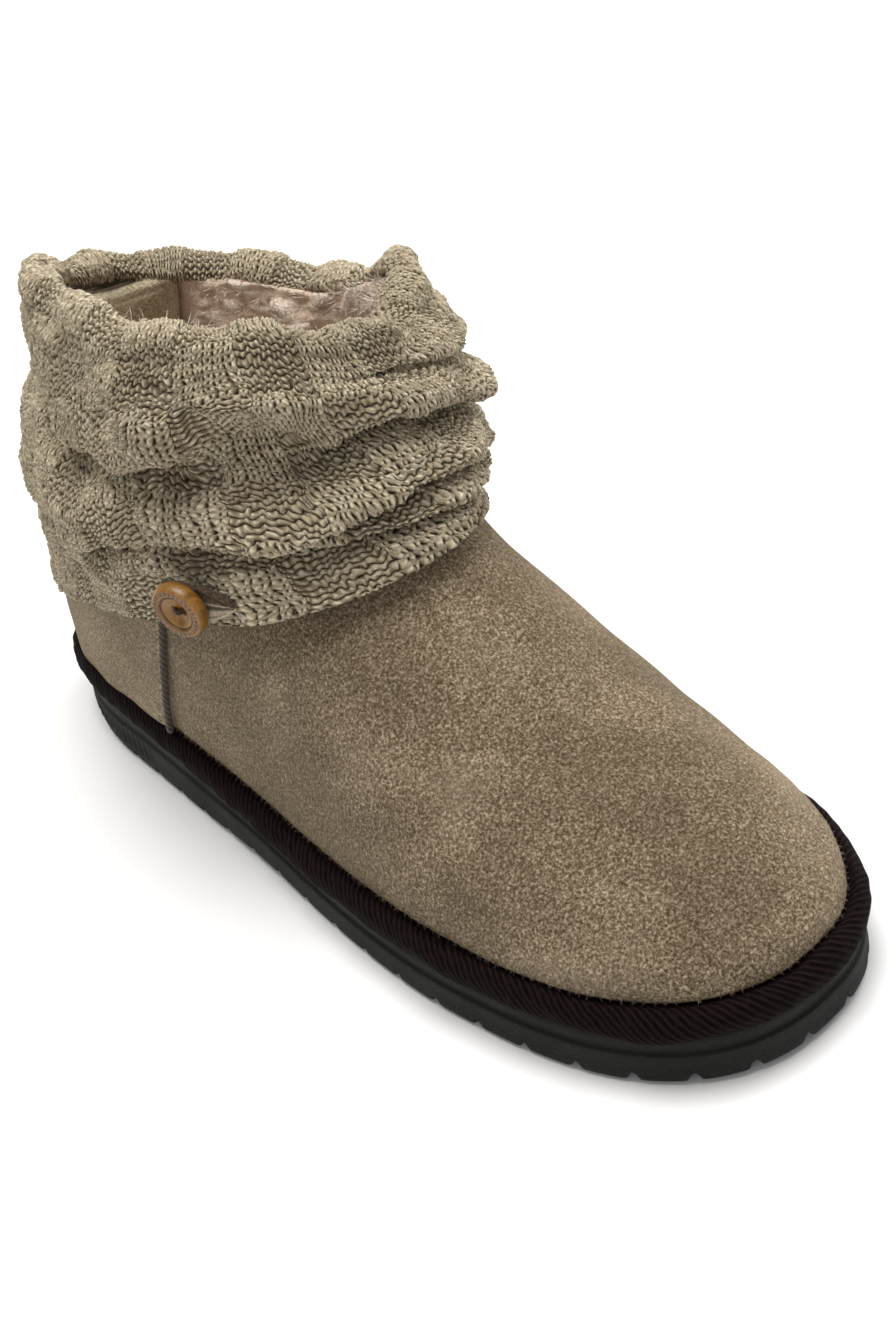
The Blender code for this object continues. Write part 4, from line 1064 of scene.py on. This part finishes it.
chance = np.random.default_rng(47)
count = 4000
i, j = chance.integers(0, FINE, count), chance.integers(2, rim_start + 50, count)
ways = out[i, j] + chance.normal(0, 0.55, (count, 3))
wisp, tree, shader = finish("loose_fibre", {"Specular IOR Level": 0.2, "Sheen Weight": 0.3})
shade = noise(tree, node(tree, "TexCoord").outputs["Object"], 0.003, 2.0)
color = ramp(tree, shade, (0.3, "#A4967D"), (0.7, "#DDD2BA"))
connect(tree, shader, color, ramp(tree, shade, (0.3, 0.9), (0.7, 1.0)), shade, 0.0001)
fuzz = spikes("knit_cuff_fuzz", knit[i, j] - out[i, j] * 0.0004, ways,
              chance.uniform(0.0012, 0.0032, count), 0.000038, chance.normal(0, 0.0007, (count, 3)), wisp)

# ---- Back facing
# A small padded patch of beige suede sewn over the fleece inside the back of the collar, with
# rounded corners and one row of stitches.

pad_suede = suede("beige_suede", ("#7E7158", "#A2947A", "#B8AB90", "#CDC2A8"), "#D8CDB6")
columns, rows = 80, 40
a = np.linspace(-1, 1, columns)[:, None] * np.ones((1, rows))
b = np.linspace(-1, 1, rows)[None, :] * np.ones((columns, 1))
a, b = a * (1 - 0.09 * a ** 2 * b ** 6), b * (1 - 0.13 * b ** 2 * a ** 6)
turn = np.linspace(-FACING_HALF_TURN * 1.5, FACING_HALF_TURN * 1.5, columns)
line = skin(place_of_turn(turn % (2 * pi)), 400)
total = lengths_along(line)[:, -1]
normal = normals_of(line, closed=False)
column_cell = (a + 1) / 2 * (columns - 1)
low_column = np.clip(column_cell.astype(int), 0, columns - 2)
u = (column_cell - low_column)[..., None]
up = 1 - (COLLAR_BELOW_RIM + FACING_DROP + FACING_DEPTH * (1 - b) / 2) / total.mean()
cell = np.clip((up * 399).astype(int), 0, 398)
w = (up * 399 - cell)[..., None]


def sheet_at(grid):
    """Values of the skin's table at the patch's warped places, read linearly both ways."""
    near = grid[low_column, cell] * (1 - w) + grid[low_column, cell + 1] * w
    far = grid[low_column + 1, cell] * (1 - w) + grid[low_column + 1, cell + 1] * w
    return near * (1 - u) + far * u


place, out = sheet_at(line), unit(sheet_at(normal))
margin = np.minimum((1 - np.abs(np.linspace(-1, 1, columns)))[:, None] * 0.0140,
                    (1 - np.abs(np.linspace(-1, 1, rows)))[None, :] * FACING_DEPTH / 2)
thick = 0.0024 * (1 - np.exp(-margin / 0.0009)) - 0.0006 * np.exp(-((margin - 0.0026) / 0.0005) ** 2)
thick = thick + 0.0003 * waves(place, 0.014, 51) * (margin > 0)
front = place - out * (UPPER_WALL + 0.0032 + thick)[..., None]
rear = (place - out * (UPPER_WALL + 0.0032))[:, ::-1]
patch = np.concatenate([front, rear], 1)[::-1]
patch = surface("back_facing_pad", patch, pad_suede, around=False, along=True, poles=True)
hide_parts("back_facing")

# ---- Button tab
# A short strap of beige suede that laps the hem of the cuff on the outer side. It is folded and
# sewn, and its front end is rounded.

TAB_HALF_LENGTH, TAB_THICKNESS, TAB_HALF_WIDTH, TAB_LIFT = 0.0105, 0.0014, 0.0044, 0.0022
TAB_END, TAB_CURVE, TAB_RISE = 0.0006, 0.0002, 0.0100
TAB_YAW, TAB_TILT = radians(17), radians(-3)

strap_suede, tree, shader = finish("strap_suede", {"Specular IOR Level": 0.15, "Sheen Weight": 0.2})
place = node(tree, "TexCoord").outputs["Object"]
# The relief mask read here paints light and shade: at 1 the face takes the pale, lit colour, at 0 the dark,
# shaded one.
turned = node(tree, "Attribute", attribute_name="relief").outputs["Fac"]
pile = noise(tree, place, 0.0006, 3.0, 0.6)
shaded = ramp(tree, pile, (0.35, "#2C2118"), (0.65, "#5A4A38"))
color = mixed(tree, turned, shaded, ramp(tree, pile, (0.35, "#8C7B64"), (0.65, "#C3B49C")))
connect(tree, shader, color, ramp(tree, pile, (0.3, 0.85), (0.7, 1.0)), pile, 0.00030, 0.8)

line = skin(place_of_turn(np.array([TAB_TURN])), 160)
spot = pick(line, spread(line, hem_share(line, 0.0), np.ones(1), 41))[0, 0] + np.array([0.0, 0.0, TAB_RISE])
out = -np.array([np.cos(TAB_YAW) * np.cos(TAB_TILT), np.sin(TAB_YAW) * np.cos(TAB_TILT), -np.sin(TAB_TILT)])
up = unit(np.array([0.0, 0.0, 1.0]) - out * out[2])
ahead = np.cross(up, out)

columns, rows = 90, 48
along = np.linspace(-0.60, 1.30, columns)
half = TAB_HALF_WIDTH * (1 - np.clip((along - 0.2) / 1.1, 0, 1) ** 2.2) + TAB_END
a, b = (along * TAB_HALF_LENGTH)[:, None], np.linspace(-1, 1, rows)[None, :] * half[:, None]
place = spot + ahead * a[..., None] + up * b[..., None] - out * (TAB_CURVE * along ** 2)[:, None, None]
margin = np.minimum((1 - np.abs(np.linspace(-1, 1, rows)))[None, :] * half[:, None],
                    np.minimum(along - along[0], along[-1] - along)[:, None] * TAB_HALF_LENGTH)
thick = TAB_THICKNESS * (0.30 + 0.70 * np.clip(margin / 0.0006, 0, 1) ** 0.5)
thick = thick - 0.0003 * np.exp(-((margin - 0.0014) / 0.0003) ** 2)
lift = CUFF_CLEAR + CUFF_WALL + TAB_LIFT
front, rear = place + out * (lift + thick)[..., None], place + out * lift
# The face is painted: pale low down where it is lit, painted shade above for its top edge and the gap behind it,
# crossed by one thin pale line.
level = b / half[:, None]
light = ease((-0.15 - level) / 0.25) + np.exp(-((level - 0.12) / 0.07) ** 2)
front[[0, -1]] = (front[[0, -1]] + rear[[0, -1]]) / 2
rear[[0, -1]] = front[[0, -1]]
strap = np.concatenate([front, rear[:, ::-1]], 1)
strap = surface("button_tab_strap", strap, strap_suede, around=False, along=True, poles=True,
                relief=np.concatenate([light, light[:, ::-1] * 0], 1))
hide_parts("button_tab")

# ---- Button
# A turned button of honey coloured wood, varnished, 14.4 mm across. A raised rim with plain
# notches stands round a dished middle with two holes, and brown thread holds it.

BUTTON_RADIUS, BUTTON_THICKNESS = 0.0072, 0.0042
NOTCHES = 30

wood, tree, shader = finish("honey_wood", {
    "Specular IOR Level": 0.5, "Coat Weight": 0.12, "Coat Roughness": 0.35,
})
place = node(tree, "TexCoord").outputs["Object"]
lengthways = {"Vector": place, "Rotation": (0.3, 0.9, 0.4), "Scale": (1.0, 6.0, 1.0)}
turned = node(tree, "Mapping", lengthways).outputs[0]
grain = noise(tree, turned, 0.0070, 4.0, 0.6, Distortion=0.6)
pores = noise(tree, turned, 0.0016, 3.0, 0.7)
# The relief attribute darkens the wood: its own stain on the top rim band, painted shade in the groove, notches
# and holes.
stain_and_shade = node(tree, "Attribute", attribute_name="relief").outputs["Fac"]
color = ramp(tree, grain, (0.30, "#6B4516"), (0.52, "#8E6426"), (0.72, "#AD803A"))
color = tinted(tree, color, pores, "#5C3212", (0.30, 0.6), (0.42, 0.0))
color = mixed(tree, stain_and_shade, color, rgb("#4A280E"))
connect(tree, shader, color, ramp(tree, grain, (0.3, 0.30), (0.7, 0.42)), pores, 0.00010, 0.5)

# Columns: share of the radius, share of the thickness, darkness: the wood's own stain on the top
# rim band, painted shade in the ring groove, and darker low on the side and underneath.
BUTTON_PROFILE = [
    (0.00, 0.00, 0.4), (0.70, 0.00, 0.4), (0.84, 0.02, 0.4), (0.93, 0.12, 0.3), (0.985, 0.30, 0.2),
    (1.00, 0.50, 0.1), (0.985, 0.72, 0.1), (0.94, 0.89, 0.0), (0.88, 0.98, 0.0), (0.855, 1.00, 0.35),
    (0.74, 1.00, 0.42), (0.68, 0.98, 0.38), (0.645, 0.93, 0.4), (0.625, 0.86, 0.8), (0.605, 0.84, 0.9),
    (0.585, 0.87, 0.5), (0.56, 0.89, 0.1), (0.52, 0.87, 0.0), (0.44, 0.79, 0.0), (0.34, 0.69, 0.0),
    (0.22, 0.62, 0.0), (0.10, 0.59, 0.0), (0.00, 0.58, 0.0),
]
profile = np.array(BUTTON_PROFILE)
steps = np.linspace(0, len(profile) - 1, 3 * (len(profile) - 1) + 1)
radius, level, stain = (np.interp(steps, np.arange(len(profile)), profile[:, k]) for k in range(3))
turn = 2 * pi * np.arange(144) / 144
band = np.clip(1 - np.abs(radius - 0.80) / 0.075, 0, 1) ** 0.5 * (level > 0.9)
notch = np.clip(np.cos(NOTCHES * turn) * 3 - 0.6, 0, 1)[:, None] * band[None, :]
px, py = radius * np.cos(turn)[:, None], radius * np.sin(turn)[:, None]
hole = np.hypot(np.abs(px) - 0.17, py * 0.8) / 0.095
hole = np.clip(1.25 - hole, 0, 1) * (level > 0.5)
pz = level[None, :] - 0.055 * notch - 0.55 * ease(hole * 2.5)
base = spot + out * (CUFF_CLEAR + CUFF_WALL + TAB_LIFT + TAB_THICKNESS + GAP)
frame_axes = np.stack([ahead, up, out])
grid = base + np.stack([px * BUTTON_RADIUS, py * BUTTON_RADIUS, pz * BUTTON_THICKNESS], -1) @ frame_axes
# Stain on the rim band plus painted shade in the ring groove, the notches and the holes.
shade = np.clip(stain[None, :] + 0.5 * notch + hole, 0, 1)
button = surface("wooden_button", grid, wood, poles=True, relief=shade)
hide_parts("button")

s = np.linspace(0, 1, 40)
bow = np.stack([(s - 0.5) * 0.36, 0 * s, 0.50 + 0.32 * np.sin(pi * s)], -1)
bow = bow * [BUTTON_RADIUS, BUTTON_RADIUS, BUTTON_THICKNESS]
uv = np.stack(np.meshgrid(np.linspace(0, 2, 11), np.linspace(0, 9, 40), indexing="ij"), -1)
for number, shift in enumerate((-0.00035, 0.00035)):
    path = base + (bow + [0, shift, 0.0001 * number]) @ frame_axes
    name = "button_thread_%d" % (number + 1)
    thread = surface(name, tube(path, 0.00036, 10, up), welt, caps=True, uv=uv)

# ---- Floor, light and camera

floor_paint, tree, shader = finish("pale_floor", {"Specular IOR Level": 0.2})
place = node(tree, "TexCoord").outputs["Object"]
color = ramp(tree, noise(tree, place, 0.4), (0.3, 0.94), (0.7, 0.96))
rough = ramp(tree, noise(tree, place, 0.1), (0.3, 0.8), (0.7, 0.9))
connect(tree, shader, color, rough, noise(tree, place, 0.002), 0.00005, 0.2)
mesh = bpy.data.meshes.new("floor")
mesh.from_pydata([(-4, -4, 0), (4, -4, 0), (4, 4, 0), (-4, 4, 0)], [], [(0, 1, 2, 3)])
mesh.materials.append(floor_paint)
floor = bpy.data.objects.new("floor", mesh)
bpy.context.scene.collection.objects.link(floor)

world = bpy.data.worlds.new("studio")
world.use_nodes = True
world.node_tree.nodes["Background"].inputs["Color"].default_value = (1.0, 0.99, 0.97, 1.0)
world.node_tree.nodes["Background"].inputs["Strength"].default_value = 0.33
bpy.context.scene.world = world

# Columns: name, place, aim, size, watts, colour.
LIGHTS = [
    ("key", (-0.03, -0.10, 1.25), (0.0, -0.06, 0.06), 0.75, 14.8, (1.0, 0.985, 0.96)),
    ("side", (0.95, -0.20, 0.60), (0.0, -0.05, 0.08), 0.7, 6.0, (1.0, 1.0, 1.0)),
    ("fill", (-0.80, -0.60, 0.60), (0.0, -0.09, 0.05), 1.0, 1.2, (1.0, 1.0, 1.0)),
    ("floor", (0.60, 2.00, 1.50), (0.60, 2.00, 0.0), 1.2, 45.0, (1.0, 1.0, 1.0)),
]
for name, spot, aim, size, watts, tint in LIGHTS:
    lamp = bpy.data.lights.new(name, "AREA")
    lamp.shape, lamp.size, lamp.energy, lamp.color = "DISK", size, watts, tint
    lamp.spread = radians(100 if name == "floor" else 180)
    holder = bpy.data.objects.new(name, lamp)
    holder.location = spot
    holder.rotation_euler = (Vector(aim) - Vector(spot)).to_track_quat("-Z", "Y").to_euler()
    bpy.context.scene.collection.objects.link(holder)

# The photo's view: from the toe's outer side, 34 degrees down and rolled.
eye = bpy.data.cameras.new("photo_view")
eye.lens = 43.45
camera = bpy.data.objects.new("photo_view", eye)
camera.location = (-0.18036, -0.38487, 0.26767)
camera.rotation_euler = (radians(54.939947), radians(11.893602), radians(-42.735720))
bpy.context.scene.collection.objects.link(camera)
bpy.context.scene.camera = camera
bpy.context.scene.view_settings.view_transform = "Standard"
